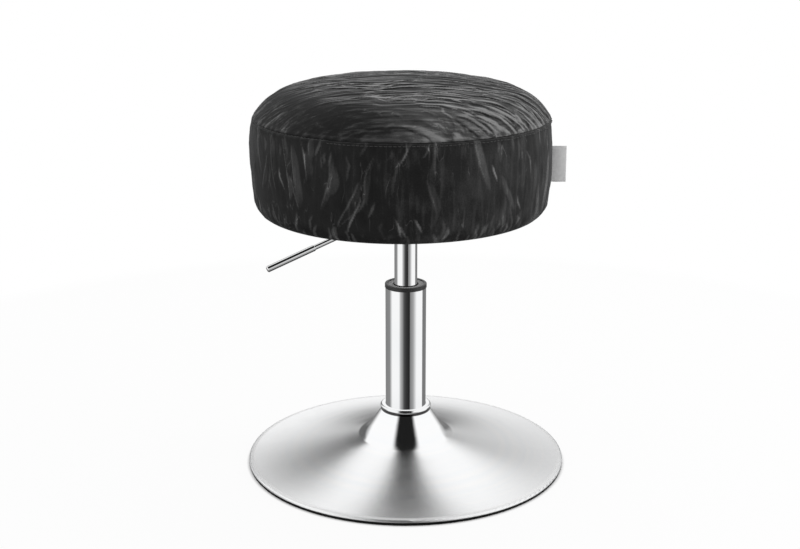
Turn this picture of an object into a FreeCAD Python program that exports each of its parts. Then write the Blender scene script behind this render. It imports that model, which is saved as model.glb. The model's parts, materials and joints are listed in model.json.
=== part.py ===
"""Swivel vanity stool: a round upholstered seat on a gas lift that stands in a trumpet base.

Millimetres, +Z up. The origin is on the floor, on the column's axis. The seat stands at its
photographed height, part way up the lift, and the height lever points left and a little forward.
"""

import FreeCAD, Part
import os
from types import SimpleNamespace

import Sketcher

# Driving dimensions. Lengths in millimetres, angles in degrees.
SIZES = {
    # Trumpet base
    "base_diameter": 395,
    "base_sheet": 1.5,
    "lip_height": 4.2,
    "lip_round": 2.2,
    "rim_slope": 5,
    "flare_radius": 700,
    "bell_radius": 26,
    "bell_slope": 58,
    "neck_diameter": 59,
    "neck_height": 67.5,
    "neck_ring_diameter": 63.2,
    "neck_ring_height": 5,
    "floor_ring_height": 2.5,
    "floor_ring_width": 12,
    "floor_ring_inset": 0.8,
    "floor_ring_round": 0.6,
    "bottom_sheet": 1.6,
    "bottom_step_height": 3,
    "bottom_step_diameter": 122,
    "bottom_step_run": 4,
    "knockout_diameter": 34,
    "ballast_inner_diameter": 142,
    "ballast_outer_diameter": 306,
    "ballast_headroom": 2.5,
    "hub_wall": 2.8,
    "hub_flange_diameter": 92,
    "hub_flange_thickness": 4,
    "hub_rib_thickness": 3,
    "hub_rib_height": 20,
    "hub_rib_inset": 4,
    # Column tube and its top
    "tube_diameter": 50,
    "tube_wall": 1.5,
    "tube_bottom": 12,
    "tube_top": 226.5,
    "tube_taper": 0.7,
    "neck_slip": 0.4,
    "cap_height": 3,
    "cap_skirt": 2,
    "cap_skirt_wall": 0.55,
    "cap_width": 3.3,
    "cap_round": 1,
    "sleeve_length": 96,
    "sleeve_recess": 1.2,
    "wiper_width": 1.6,
    "wiper_seat": 4,
    "wiper_stand": 0.8,
    # Swivel bearing at the foot of the column
    "end_plate_rise": 1,
    "end_plate_thickness": 4,
    "race_diameter": 36,
    "race_thickness": 2.5,
    "race_groove": 0.6,
    "ball_diameter": 5,
    "ball_circle": 25,
    "cage_thickness": 2,
    "cage_width": 8,
    "bump_stop_diameter": 22,
    "bump_stop_height": 14,
    "bump_stop_waist": 2,
    "clip_washer_diameter": 22,
    "clip_washer_thickness": 1.5,
    "clip_thickness": 1.2,
    "clip_diameter": 16,
    "clip_mouth": 5,
    "clip_groove": 0.8,
    "rod_tail": 2,
    # Gas spring
    "stroke_up": 70,
    "stroke_down": 50,
    "stroke_reserve": 2,
    "cylinder_diameter": 28,
    "cylinder_wall": 2.2,
    "cylinder_taper": 0.8,
    "cylinder_lip": 1.3,
    "cylinder_lip_height": 1.5,
    "cylinder_chamfer": 1,
    "rod_diameter": 10,
    "rod_end_diameter": 8,
    "rod_guide_length": 13,
    "rod_seal_length": 5,
    "piston_length": 12,
    "piston_seal_diameter": 2.4,
    "valve_length": 26,
    "valve_roof": 6,
    "valve_floor": 4,
    "valve_chamber_diameter": 10,
    "pin_diameter": 6,
    "pin_height": 5,
    "pin_dome": 1.4,
    "pin_shoulder_diameter": 9,
    "pin_shoulder_height": 4,
    # Seat plate, its socket and fasteners
    "seat_height": 320,
    "pan_sheet": 2.5,
    "pan_side": 160,
    "pan_corner": 18,
    "pan_mouth_diameter": 114,
    "pan_floor_diameter": 100,
    "pan_depth": 24,
    "pan_round": 3,
    "pan_slot_width": 10,
    "pan_slot_height": 14,
    "pan_slot_headroom": 1,
    "socket_drop": 37.5,
    "socket_diameter": 36,
    "socket_stand": 4,
    "socket_collar_diameter": 44,
    "socket_collar_height": 3,
    "cylinder_stand": 6,
    "bolt_spacing": 120,
    "bolt_diameter": 6,
    "bolt_clearance": 0.4,
    "bolt_grip": 11,
    "bolt_head_width": 10,
    "bolt_head_height": 4,
    "washer_diameter": 13,
    "washer_thickness": 1.2,
    "tee_nut_diameter": 19,
    "tee_nut_flange": 1.6,
    "tee_nut_barrel_wall": 1,
    "tee_nut_length": 10,
    # Height lever
    "lever_azimuth": 25,
    "lever_diameter": 6,
    "lever_gap": 0.3,
    "lever_finger": 7,
    "lever_bend": 41,
    "lever_bend_radius": 30,
    "lever_slope": 18.2,
    "lever_reach": 178.5,
    "pivot_offset": 26,
    "pivot_diameter": 5,
    "pivot_head_diameter": 8,
    "pivot_head": 1.2,
    "boss_diameter": 9.4,
    "boss_width": 7,
    "ear_thickness": 2,
    "ear_width": 12,
    "grip_diameter": 7.6,
    "grip_length": 62.5,
    "grip_round": 0.8,
    "grip_end": 1.6,
    # Upholstered seat
    "seat_diameter": 360,
    "bulge_height": 67.5,
    "side_radius": 365,
    "edge_round": 21.5,
    "seam_height": 115.2,
    "seam_lean": 59.5,
    "shoulder_radius": 73,
    "crown_height": 163.5,
    "cover_thickness": 1.6,
    "hem_width": 16,
    "board_thickness": 15,
    "board_margin": 2,
    "board_round": 3,
    "dust_cover_thickness": 1.2,
    "label_bottom": 36,
    "label_height": 43,
    "label_reach": 15.5,
    "label_thickness": 1.6,
    "label_ply": 0.5,
    # Clearances
    "fit_gap": 0.1,
    "run_gap": 0.15,
    "soft_gap": 0.3,
}
BALL_COUNT = 9
RIB_COUNT = 4
BOLT_COUNT = 4
FULL_TURN = 360.0
RIGHT_ANGLE = 90.0

doc = FreeCAD.newDocument("vanity_stool")
sheet = doc.addObject("Spreadsheet::Sheet", "Sizes")
derived = doc.addObject("App::VarSet", "Derived")
pieces = []


class Size:
    """A number with its value now and the expression that keeps it bound to the sheet."""

    def __init__(self, value, text):
        self.value = float(value)
        self.text = text

    def __add__(self, other):
        return Size(self.value + value_of(other), f"({self.text} + {text_of(other)})")

    def __radd__(self, other):
        return Size(value_of(other) + self.value, f"({text_of(other)} + {self.text})")

    def __sub__(self, other):
        return Size(self.value - value_of(other), f"({self.text} - {text_of(other)})")

    def __rsub__(self, other):
        return Size(value_of(other) - self.value, f"({text_of(other)} - {self.text})")

    def __mul__(self, other):
        return Size(self.value * value_of(other), f"({self.text} * {text_of(other)})")

    def __rmul__(self, other):
        return Size(value_of(other) * self.value, f"({text_of(other)} * {self.text})")

    def __truediv__(self, other):
        return Size(self.value / value_of(other), f"({self.text} / {text_of(other)})")

    def __neg__(self):
        return 0 - self


def value_of(term):
    return term.value if isinstance(term, Size) else float(term)


def text_of(term):
    return term.text if isinstance(term, Size) else str(float(term))


def work_out(name, term):
    """Keeps a worked-out size under its own name, so that other sizes can refer to it."""
    derived.addProperty("App::PropertyFloat", name, "Derived", "")
    derived.setExpression(name, text_of(term))
    derived.recompute()
    return Size(getattr(derived, name), f"Derived.{name}")


def of_angle(name, function, term):
    """A sine, cosine or tangent of an angle in degrees, or an arc cosine in degrees."""
    return work_out(name, Size(0, f"{function}({text_of(term)})"))


def root(name, term):
    return work_out(name, Size(0, f"sqrt({text_of(term)})"))


def read_sizes():
    """Writes the driving dimensions to the sheet and gives each one as a Size."""
    found = {}
    for row, (alias, value) in enumerate(SIZES.items(), start=1):
        sheet.set(f"A{row}", alias)
        sheet.set(f"B{row}", str(value))
        sheet.setAlias(f"B{row}", alias)
    doc.recompute()
    for alias in SIZES:
        found[alias] = Size(sheet.get(alias), f"Sizes.{alias}")
    return SimpleNamespace(**found)


size = read_sizes()


# Sketches


def arc(x, y, centre):
    """An outline's corner that is reached by an arc about a centre, the shorter way round."""
    return (x, y, centre)


def bind(sketch, kind, geometry, point, term):
    """Holds one coordinate of a sketch point at a size, measured from the sketch's origin."""
    value = value_of(term)
    if abs(value) < 1e-9:
        on_axis = -2 if kind == "DistanceX" else -1
        sketch.addConstraint(Sketcher.Constraint("PointOnObject", geometry, point, on_axis))
        return
    index = sketch.addConstraint(Sketcher.Constraint(kind, -1, 1, geometry, point, value))
    sketch.renameConstraint(index, f"size{index}")
    sketch.setExpression(f"Constraints.size{index}", text_of(term))


def edge_between(start, end, centre):
    """The line or arc from start to end, and which of its ends is the start."""
    if centre is None:
        return Part.LineSegment(start, end), 1
    spin = (start - centre).cross(end - centre).z
    circle = Part.Circle(centre, FreeCAD.Vector(0, 0, 1), (start - centre).Length)
    first, last = (start, end) if spin > 0 else (end, start)
    turned_arc = Part.ArcOfCircle(circle, circle.parameter(first), circle.parameter(last))
    return turned_arc, 1 if spin > 0 else 2


def draw(sketch, outline, closed=True):
    """Draws a chain of corners joined by lines and arcs, with every corner bound to its sizes."""
    points = [FreeCAD.Vector(value_of(c[0]), value_of(c[1]), 0) for c in outline]
    edges = []
    for i, corner in enumerate(outline):
        if i == 0 and not closed:
            continue
        centre = None
        if len(corner) == 3:
            centre = FreeCAD.Vector(value_of(corner[2][0]), value_of(corner[2][1]), 0)
        geometry, start = edge_between(points[i - 1], points[i], centre)
        index = sketch.addGeometry(geometry, False)
        edges.append((index, start, 3 - start))
        if i == 0:
            bind_corner(sketch, edges[0][0], edges[0][2], outline[0])
            continue
        if not closed and i == 1:
            bind_corner(sketch, index, start, outline[0])
        else:
            before = edges[-2]
            sketch.addConstraint(Sketcher.Constraint("Coincident", before[0], before[2], index, start))
        bind_corner(sketch, index, 3 - start, corner)
    if closed:
        last, first = edges[-1], edges[0]
        sketch.addConstraint(Sketcher.Constraint("Coincident", last[0], last[2], first[0], first[1]))
    for (index, _, _), i in zip(edges, range(0 if closed else 1, len(outline))):
        if len(outline[i]) == 3:
            chord = points[i] - points[i - 1]
            centre = outline[i][2]
            if abs(chord.x) > abs(chord.y):
                bind(sketch, "DistanceY", index, 3, centre[1])
            else:
                bind(sketch, "DistanceX", index, 3, centre[0])


def bind_corner(sketch, geometry, point, corner):
    bind(sketch, "DistanceX", geometry, point, corner[0])
    bind(sketch, "DistanceY", geometry, point, corner[1])


def draw_circle(sketch, x, y, radius):
    centre = FreeCAD.Vector(value_of(x), value_of(y), 0)
    index = sketch.addGeometry(Part.Circle(centre, FreeCAD.Vector(0, 0, 1), value_of(radius)), False)
    bind(sketch, "DistanceX", index, 3, x)
    bind(sketch, "DistanceY", index, 3, y)
    held = sketch.addConstraint(Sketcher.Constraint("Radius", index, value_of(radius)))
    sketch.renameConstraint(held, f"radius{held}")
    sketch.setExpression(f"Constraints.radius{held}", text_of(radius))


def draw_axis(sketch, start, end):
    """A construction line to turn an outline about, bound at both ends."""
    points = [FreeCAD.Vector(value_of(x), value_of(y), 0) for x, y in (start, end)]
    index = sketch.addGeometry(Part.LineSegment(*points), True)
    bind_corner(sketch, index, 1, start)
    bind_corner(sketch, index, 2, end)


# Bodies and features


def new_body(label, swing=None):
    """A named body. swing turns it about the column's axis, in degrees."""
    body = doc.addObject("PartDesign::Body", label)
    body.Label = label
    if swing is not None:
        body.Placement = FreeCAD.Placement(
            FreeCAD.Vector(), FreeCAD.Rotation(FreeCAD.Vector(0, 0, 1), value_of(swing))
        )
        body.setExpression("Placement.Rotation.Angle", text_of(swing))
    pieces.append(body)
    return body


def origin_feature(body, role):
    return next(f for f in body.Origin.OriginFeatures if f.Role == role)


def new_sketch(body, plane, offset=None):
    """A sketch on one of the body's planes, moved along the plane's normal by offset."""
    sketch = body.newObject("Sketcher::SketchObject", body.Label + "_sketch")
    sketch.AttachmentSupport = [(origin_feature(body, plane), "")]
    sketch.MapMode = "FlatFace"
    if offset is not None:
        sketch.setExpression("AttachmentOffset.Base.z", text_of(offset))
    return sketch


def turn(body, outline, axis=None):
    """Turns an outline in the XZ plane a full turn about Z, or about a line in that plane."""
    sketch = new_sketch(body, "XZ_Plane")
    draw(sketch, outline)
    feature = body.newObject("PartDesign::Revolution", body.Label + "_turn")
    feature.Profile = sketch
    if axis is None:
        feature.ReferenceAxis = (sketch, ["V_Axis"])
    else:
        draw_axis(sketch, *axis)
        feature.ReferenceAxis = (sketch, ["Axis0"])
    feature.Angle = FULL_TURN
    doc.recompute()
    return feature


def turned(label, outline, swing=None, axis=None):
    body = new_body(label, swing)
    turn(body, outline, axis)
    return body


def pad(body, sketch, length, both_ways=False):
    feature = body.newObject("PartDesign::Pad", body.Label + "_pad")
    feature.Profile = sketch
    feature.setExpression("Length", text_of(length))
    feature.Midplane = both_ways
    doc.recompute()
    return feature


def pocket(body, sketch, length=None, both_ways=False):
    """Cuts a sketch into the body, all the way through if it has no length."""
    before = body.Tip.Shape.Volume
    feature = body.newObject("PartDesign::Pocket", body.Label + "_pocket")
    feature.Profile = sketch
    feature.Midplane = both_ways
    if length is None:
        feature.Type = "ThroughAll"
    else:
        feature.setExpression("Length", text_of(length))
    doc.recompute()
    if not feature.Shape.Volume < before:
        raise ValueError(f"{body.Label}: a pocket cuts nothing")
    return feature


def repeat(body, features, count):
    """Copies features round the column's axis."""
    feature = body.newObject("PartDesign::PolarPattern", body.Label + "_pattern")
    feature.Originals = features
    feature.Axis = (origin_feature(body, "Z_Axis"), [""])
    feature.Angle = FULL_TURN
    feature.Occurrences = count
    body.Tip = feature
    doc.recompute()
    return feature


def round_edges(body, radius, wanted):
    """Rounds the tip's edges that wanted(edge) accepts."""
    tip = body.Tip
    names = [f"Edge{i}" for i, edge in enumerate(tip.Shape.Edges, start=1) if wanted(edge)]
    feature = body.newObject("PartDesign::Fillet", body.Label + "_round")
    feature.Base = (tip, names)
    feature.setExpression("Radius", text_of(radius))
    doc.recompute()
    return feature


def is_upright(edge):
    low, high = edge.BoundBox.ZMin, edge.BoundBox.ZMax
    return edge.BoundBox.DiagonalLength < (high - low) * 1.001


def is_ring_at(radius, height):
    """Accepts the full circles about Z that have this radius and height."""

    def wanted(edge):
        box = edge.BoundBox
        level = abs(box.ZMin - value_of(height)) < 0.01 and abs(box.ZMax - value_of(height)) < 0.01
        return level and abs(box.XMax - value_of(radius)) < 0.01

    return wanted


# Worked-out heights and radii that several pieces share

base_radius = size.base_diameter / 2
tube_radius = size.tube_diameter / 2
tube_bore = tube_radius - size.tube_wall
cylinder_radius = size.cylinder_diameter / 2
cylinder_bore = cylinder_radius - size.cylinder_wall
rod_radius = size.rod_diameter / 2
rod_end_radius = size.rod_end_diameter / 2

bottom_low = size.floor_ring_height
bottom_high = work_out("bottom_high", bottom_low + size.bottom_step_height + size.bottom_sheet)
hub_top = work_out("hub_top", size.neck_height - size.base_sheet - size.fit_gap)

end_plate_low = work_out("end_plate_low", size.tube_bottom + size.end_plate_rise)
end_plate_high = work_out("end_plate_high", end_plate_low + size.end_plate_thickness)
lower_race_high = work_out("lower_race_high", end_plate_high + size.race_thickness)
ball_height = work_out(
    "ball_height", lower_race_high - size.race_groove + size.ball_diameter / 2 + size.fit_gap
)
upper_race_low = work_out(
    "upper_race_low", ball_height + size.ball_diameter / 2 + size.fit_gap - size.race_groove
)
upper_race_high = work_out("upper_race_high", upper_race_low + size.race_thickness)
bump_stop_high = work_out("bump_stop_high", upper_race_high + size.bump_stop_height)

cylinder_low = work_out("cylinder_low", bump_stop_high + size.stroke_down + size.stroke_reserve)
guide_low = work_out("guide_low", cylinder_low + size.cylinder_lip_height)
guide_high = work_out("guide_high", guide_low + size.rod_guide_length)
seal_high = work_out("seal_high", guide_high + size.rod_seal_length)
piston_low = work_out("piston_low", seal_high + size.stroke_up + size.stroke_reserve)
piston_high = work_out("piston_high", piston_low + size.piston_length)

pan_low = work_out("pan_low", size.seat_height - size.pan_depth)
pan_floor = work_out("pan_floor", pan_low + size.pan_sheet)
pan_flange_low = work_out("pan_flange_low", size.seat_height - size.pan_sheet)
socket_low = work_out("socket_low", size.seat_height - size.socket_drop)
socket_high = work_out("socket_high", pan_floor + size.socket_stand)
cylinder_high = work_out("cylinder_high", pan_floor + size.cylinder_stand)
pin_high = work_out("pin_high", cylinder_high + size.pin_height)
lever_height = work_out("lever_height", pin_high + size.lever_gap + size.lever_diameter / 2)

board_low = work_out("board_low", size.seat_height + size.cover_thickness)
board_high = work_out("board_high", board_low + size.board_thickness)
bolt_circle = work_out("bolt_circle", size.bolt_spacing / 2 * 2**0.5)
bolt_swing = size.lever_azimuth + RIGHT_ANGLE / 2

# The seat's outline: a bulged side between a rounded lower edge and the seam, and above the seam a
# shoulder that runs into the crown. Each arc is kept as its centre and radius.

seat_radius = size.seat_diameter / 2
bulge_level = work_out("bulge_level", size.seat_height + size.bulge_height)
seam_level = work_out("seam_level", size.seat_height + size.seam_height)
crown_level = work_out("crown_level", size.seat_height + size.crown_height)
side_centre = (work_out("side_centre_x", seat_radius - size.side_radius), bulge_level)


def side_at(name, level, inset):
    """Radius of the seat's side at a level, inset from the outer surface."""
    reach, rise = size.side_radius - inset, level - bulge_level
    return work_out(name, side_centre[0] + root(name + "_reach", reach * reach - rise * rise))


edge_level = work_out("edge_level", size.seat_height + size.edge_round)
edge_reach = size.side_radius - size.edge_round
edge_drop = edge_level - bulge_level
edge_run = root("edge_run", edge_reach * edge_reach - edge_drop * edge_drop)
edge_centre = (work_out("edge_centre_x", side_centre[0] + edge_run), edge_level)
board_radius = work_out("board_radius", edge_centre[0] - size.board_margin)
hem_radius = work_out("hem_radius", board_radius - size.hem_width)

seam_radius = side_at("seam_radius", seam_level, 0)
lean_sine = of_angle("lean_sine", "sin", size.seam_lean)
lean_cosine = of_angle("lean_cosine", "cos", size.seam_lean)
shoulder_centre = (
    work_out("shoulder_x", seam_radius - size.shoulder_radius * lean_sine),
    work_out("shoulder_z", seam_level - size.shoulder_radius * lean_cosine),
)
shoulder_drop = shoulder_centre[1] - crown_level
crown_radius = work_out(
    "crown_radius",
    (size.shoulder_radius * size.shoulder_radius - shoulder_centre[0] * shoulder_centre[0]
     - shoulder_drop * shoulder_drop) / (2 * (shoulder_drop + size.shoulder_radius)),
)
crown_centre = (0, work_out("crown_centre_z", crown_level - crown_radius))


def edge_join(inset):
    """Where the rounded lower edge runs into the side, inset from the outer surface."""
    share = (size.side_radius - inset) / edge_reach
    return (side_centre[0] + edge_run * share, side_centre[1] + edge_drop * share)


def shoulder_join(inset):
    """Where the shoulder runs into the crown, inset from the outer surface."""
    share = (crown_radius - inset) / (crown_radius - size.shoulder_radius)
    rise = shoulder_centre[1] - crown_centre[1]
    return (shoulder_centre[0] * share, crown_centre[1] + rise * share)


def shoulder_at(name, level, inset):
    """Radius of the shoulder at a level, inset from the outer surface."""
    reach, rise = size.shoulder_radius - inset, level - shoulder_centre[1]
    return work_out(name, shoulder_centre[0] + root(name + "_reach", reach * reach - rise * rise))


# Trumpet base


def trumpet_outline():
    """The spun sheet from the lip at its rim, up the flare and the bell, to the flange at its neck."""
    lip_low, sheet_gauge = size.floor_ring_height, size.base_sheet
    rim_sine = of_angle("rim_sine", "sin", size.rim_slope)
    rim_cosine = of_angle("rim_cosine", "cos", size.rim_slope)
    bell_sine = of_angle("bell_sine", "sin", size.bell_slope)
    bell_cosine = of_angle("bell_cosine", "cos", size.bell_slope)
    lip = (base_radius - size.lip_round, lip_low + size.lip_height - size.lip_round)
    flare = (
        work_out("flare_x", lip[0] + (size.lip_round + size.flare_radius) * rim_sine),
        work_out("flare_z", lip[1] + (size.lip_round + size.flare_radius) * rim_cosine),
    )
    neck_radius = size.neck_diameter / 2
    across = (flare[0] - size.bell_radius * bell_sine - neck_radius) * bell_sine
    down = (size.neck_height - flare[1] + size.bell_radius * bell_cosine) * bell_cosine
    reach = size.flare_radius - size.bell_radius
    turn_angle = of_angle("bell_turn", "acos", (across - down) / reach)
    join_slope = work_out("bell_join_slope", size.bell_slope - turn_angle)
    join_sine = of_angle("bell_join_sine", "sin", join_slope)
    join_cosine = of_angle("bell_join_cosine", "cos", join_slope)
    bell = (
        work_out("bell_x", flare[0] - reach * join_sine),
        work_out("bell_z", flare[1] - reach * join_cosine),
    )

    def below(centre, radius, sine, cosine):
        return (centre[0] - radius * sine, centre[1] - radius * cosine)

    def on_lip(radius):
        return (lip[0] + radius * rim_sine, lip[1] + radius * rim_cosine)

    hole = tube_radius + size.neck_slip
    cone_foot = below(bell, size.bell_radius, bell_sine, bell_cosine)
    cone_foot_inside = below(bell, size.bell_radius + sheet_gauge, bell_sine, bell_cosine)
    flange_low = size.neck_height - sheet_gauge
    cone_run = (flange_low - cone_foot_inside[1]) * bell_cosine / bell_sine
    outline = [
        (base_radius, lip_low),
        (base_radius, lip[1]),
        arc(*on_lip(size.lip_round), lip),
        arc(*below(flare, size.flare_radius, join_sine, join_cosine), flare),
        arc(*cone_foot, bell),
        (neck_radius, size.neck_height),
        (hole, size.neck_height),
        (hole, flange_low),
        (cone_foot_inside[0] - cone_run, flange_low),
        cone_foot_inside,
        arc(*below(flare, size.flare_radius + sheet_gauge, join_sine, join_cosine), bell),
        arc(*on_lip(size.lip_round - sheet_gauge), flare),
        arc(base_radius - sheet_gauge, lip[1], lip),
        (base_radius - sheet_gauge, lip_low),
    ]
    return outline, flare


def make_base():
    outline, flare = trumpet_outline()
    turned("trumpet_shell", outline)

    rim = base_radius - size.base_sheet - size.fit_gap
    step = size.bottom_step_diameter / 2
    step_foot = step + size.bottom_step_run
    slant = size.bottom_sheet * 0.5
    hole = size.knockout_diameter / 2
    turned("base_plate", [
        (hole, bottom_high - size.bottom_sheet),
        (step, bottom_high - size.bottom_sheet),
        (step_foot, bottom_low),
        (rim, bottom_low),
        (rim, bottom_low + size.bottom_sheet),
        (step_foot + slant, bottom_low + size.bottom_sheet),
        (step + slant, bottom_high),
        (hole, bottom_high),
    ])

    outside = base_radius - size.floor_ring_inset
    inside = outside - size.floor_ring_width
    ring = turned("floor_ring", [
        (inside, 0),
        (outside, 0),
        (outside, size.floor_ring_height),
        (inside, size.floor_ring_height),
    ])
    round_edges(ring, size.floor_ring_round, lambda edge: abs(edge.BoundBox.ZMax) < 0.01)

    inner, outer = size.ballast_inner_diameter / 2, size.ballast_outer_diameter / 2
    reach = size.flare_radius + size.base_sheet + size.ballast_headroom
    rest = bottom_low + size.bottom_sheet

    def roof(name, radius):
        run = flare[0] - radius
        return work_out(name, flare[1] - root(name + "_drop", reach * reach - run * run))

    turned("ballast_ring", [
        (inner, rest),
        (outer, rest),
        (outer, roof("ballast_outer_top", outer)),
        arc(inner, roof("ballast_inner_top", inner), flare),
    ])

    ring_radius, half = size.neck_ring_diameter / 2, size.neck_ring_height / 2
    bead = (ring_radius - half, size.neck_height + half)
    ring_bore = tube_radius + size.neck_slip
    turned("neck_ring", [
        (ring_bore, size.neck_height),
        (bead[0], size.neck_height),
        arc(ring_radius, bead[1], bead),
        arc(bead[0], size.neck_height + size.neck_ring_height, bead),
        (ring_bore, size.neck_height + size.neck_ring_height),
    ])


def make_hub():
    """The welded socket that the column's taper wedges into, with ribs down to its flange."""
    flange = size.hub_flange_diameter / 2
    shelf = bottom_high + size.hub_flange_thickness
    bore_high = tube_radius + size.fit_gap
    bore_low = bore_high - size.tube_taper
    outside = bore_high + size.hub_wall
    body = turned("base_hub", [
        (bore_low, bottom_high),
        (flange, bottom_high),
        (flange, shelf),
        (outside, shelf),
        (outside, hub_top),
        (bore_high, hub_top),
        (bore_low, size.tube_bottom),
    ])
    root_radius = outside - size.hub_wall / 2
    sketch = new_sketch(body, "XZ_Plane")
    draw(sketch, [
        (root_radius, shelf - size.hub_flange_thickness / 2),
        (flange - size.hub_rib_inset, shelf - size.hub_flange_thickness / 2),
        (flange - size.hub_rib_inset, shelf),
        (outside, shelf + size.hub_rib_height),
        (root_radius, shelf + size.hub_rib_height),
    ])
    rib = pad(body, sketch, size.hub_rib_thickness, both_ways=True)
    repeat(body, [rib], RIB_COUNT)


# Column


def make_column():
    bore_low = tube_bore - size.tube_taper
    turned("outer_tube", [
        (bore_low, size.tube_bottom),
        (tube_radius - size.tube_taper, size.tube_bottom),
        (tube_radius, hub_top),
        (tube_radius, size.tube_top),
        (tube_bore, size.tube_top),
        (tube_bore, hub_top),
    ])
    turned("tube_end_plate", [
        (rod_end_radius + size.soft_gap, end_plate_low),
        (bore_low - size.fit_gap, end_plate_low),
        (bore_low - size.fit_gap, end_plate_high),
        (rod_end_radius + size.soft_gap, end_plate_high),
    ])

    cap_top = size.tube_top + size.cap_height
    skirt_bore = tube_radius + size.fit_gap
    cap_radius = skirt_bore + size.cap_skirt_wall
    cap_bore = cap_radius - size.cap_width
    corner = (cap_radius - size.cap_round, cap_top - size.cap_round)
    turned("tube_cap", [
        (skirt_bore, size.tube_top - size.cap_skirt),
        (cap_radius, size.tube_top - size.cap_skirt),
        (cap_radius, corner[1]),
        arc(corner[0], cap_top, corner),
        (cap_bore, cap_top),
        (cap_bore, size.tube_top),
        (skirt_bore, size.tube_top),
    ])

    sleeve_top = cap_top - size.sleeve_recess
    sleeve_bore = cylinder_radius + size.run_gap
    wiper_radius = cylinder_radius + size.run_gap + size.wiper_width
    turned("guide_sleeve", [
        (sleeve_bore, sleeve_top - size.sleeve_length),
        (tube_bore - size.fit_gap, sleeve_top - size.sleeve_length),
        (tube_bore - size.fit_gap, size.tube_top),
        (cap_bore - size.fit_gap, size.tube_top),
        (cap_bore - size.fit_gap, sleeve_top),
        (wiper_radius + size.fit_gap, sleeve_top),
        (wiper_radius + size.fit_gap, sleeve_top - size.wiper_seat),
        (sleeve_bore, sleeve_top - size.wiper_seat),
    ])
    turned("wiper_ring", [
        (sleeve_bore, sleeve_top - size.wiper_seat),
        (wiper_radius, sleeve_top - size.wiper_seat),
        (wiper_radius, sleeve_top),
        (sleeve_bore, sleeve_top + size.wiper_stand),
    ])


def make_bearing():
    """Two grooved races with a caged ring of balls, on which the gas spring's rod turns."""
    bore = rod_end_radius + size.fit_gap
    rim = size.race_diameter / 2
    ball_radius, circle = size.ball_diameter / 2, size.ball_circle / 2
    groove_radius = ball_radius + size.fit_gap
    centre = (circle, ball_height)
    flat_drop = ball_height - lower_race_high
    half_groove = root("race_half_groove", groove_radius * groove_radius - flat_drop * flat_drop)
    turned("bearing_lower_race", [
        (bore + size.soft_gap, end_plate_high),
        (rim, end_plate_high),
        (rim, lower_race_high),
        (circle + half_groove, lower_race_high),
        arc(circle - half_groove, lower_race_high, centre),
        (bore + size.soft_gap, lower_race_high),
    ])
    turned("bearing_upper_race", [
        (bore, upper_race_low),
        (circle - half_groove, upper_race_low),
        arc(circle + half_groove, upper_race_low, centre),
        (rim, upper_race_low),
        (rim, upper_race_high),
        (bore, upper_race_high),
    ])

    half, low = size.cage_width / 2, ball_height - size.cage_thickness / 2
    cage = turned("bearing_cage", [
        (circle - half, low),
        (circle + half, low),
        (circle + half, low + size.cage_thickness),
        (circle - half, low + size.cage_thickness),
    ])
    sketch = new_sketch(cage, "XY_Plane", low + size.cage_thickness)
    draw_circle(sketch, circle, 0, ball_radius + size.fit_gap)
    repeat(cage, [pocket(cage, sketch)], BALL_COUNT)

    balls = new_body("bearing_balls")
    ball = turn(balls, [
        (circle, ball_height - ball_radius),
        arc(circle + ball_radius, ball_height, centre),
        arc(circle, ball_height + ball_radius, centre),
    ], axis=((circle, ball_height - ball_radius), (circle, ball_height + ball_radius)))
    repeat(balls, [ball], BALL_COUNT)


# Gas spring


def make_rod():
    """The rod that stands on the bearing, with its stop, piston, washer and retaining clip."""
    washer_low = end_plate_low - size.clip_washer_thickness - size.fit_gap
    clip_low = washer_low - size.clip_thickness - size.fit_gap
    groove = rod_end_radius - size.clip_groove
    neck_low, neck_high = clip_low - size.fit_gap, washer_low
    tail = neck_low - size.rod_tail
    piston_socket = piston_low + size.piston_length / 2
    turned("piston_rod", [
        (0, tail),
        (rod_end_radius, tail),
        (rod_end_radius, neck_low),
        (groove, neck_low),
        (groove, neck_high),
        (rod_end_radius, neck_high),
        (rod_end_radius, upper_race_high),
        (rod_radius, upper_race_high),
        (rod_radius, piston_socket),
        (0, piston_socket),
    ])

    stop_radius, middle = size.bump_stop_diameter / 2, upper_race_high + size.bump_stop_height / 2
    half = size.bump_stop_height / 2
    waist = size.bump_stop_waist
    waist_radius = (half * half + waist * waist) / (2 * waist)
    hollow = (stop_radius - waist + waist_radius, middle)
    turned("bump_stop", [
        (rod_radius + size.fit_gap, upper_race_high),
        (stop_radius, upper_race_high),
        arc(stop_radius, bump_stop_high, hollow),
        (rod_radius + size.fit_gap, bump_stop_high),
    ])
    turned("clip_washer", [
        (rod_end_radius + size.fit_gap, washer_low),
        (size.clip_washer_diameter / 2, washer_low),
        (size.clip_washer_diameter / 2, washer_low + size.clip_washer_thickness),
        (rod_end_radius + size.fit_gap, washer_low + size.clip_washer_thickness),
    ])
    make_clip(clip_low, groove + size.fit_gap)

    seal = size.piston_seal_diameter / 2
    rim = cylinder_bore - size.run_gap
    seat = piston_low + size.piston_length / 2
    ring = (rim - seal, seat)
    turned("piston", [
        (rod_radius + size.fit_gap, piston_low),
        (rim, piston_low),
        (rim, seat - seal - size.fit_gap),
        (rim - 2 * seal - size.fit_gap, seat - seal - size.fit_gap),
        (rim - 2 * seal - size.fit_gap, seat + seal + size.fit_gap),
        (rim, seat + seal + size.fit_gap),
        (rim, piston_high),
        (0, piston_high),
        (0, piston_socket),
        (rod_radius + size.fit_gap, piston_socket),
    ])
    turned("piston_seal", [
        arc(ring[0], seat - seal, ring),
        arc(rim, seat, ring),
        arc(ring[0], seat + seal, ring),
        arc(rim - 2 * seal, seat, ring),
    ])


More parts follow.
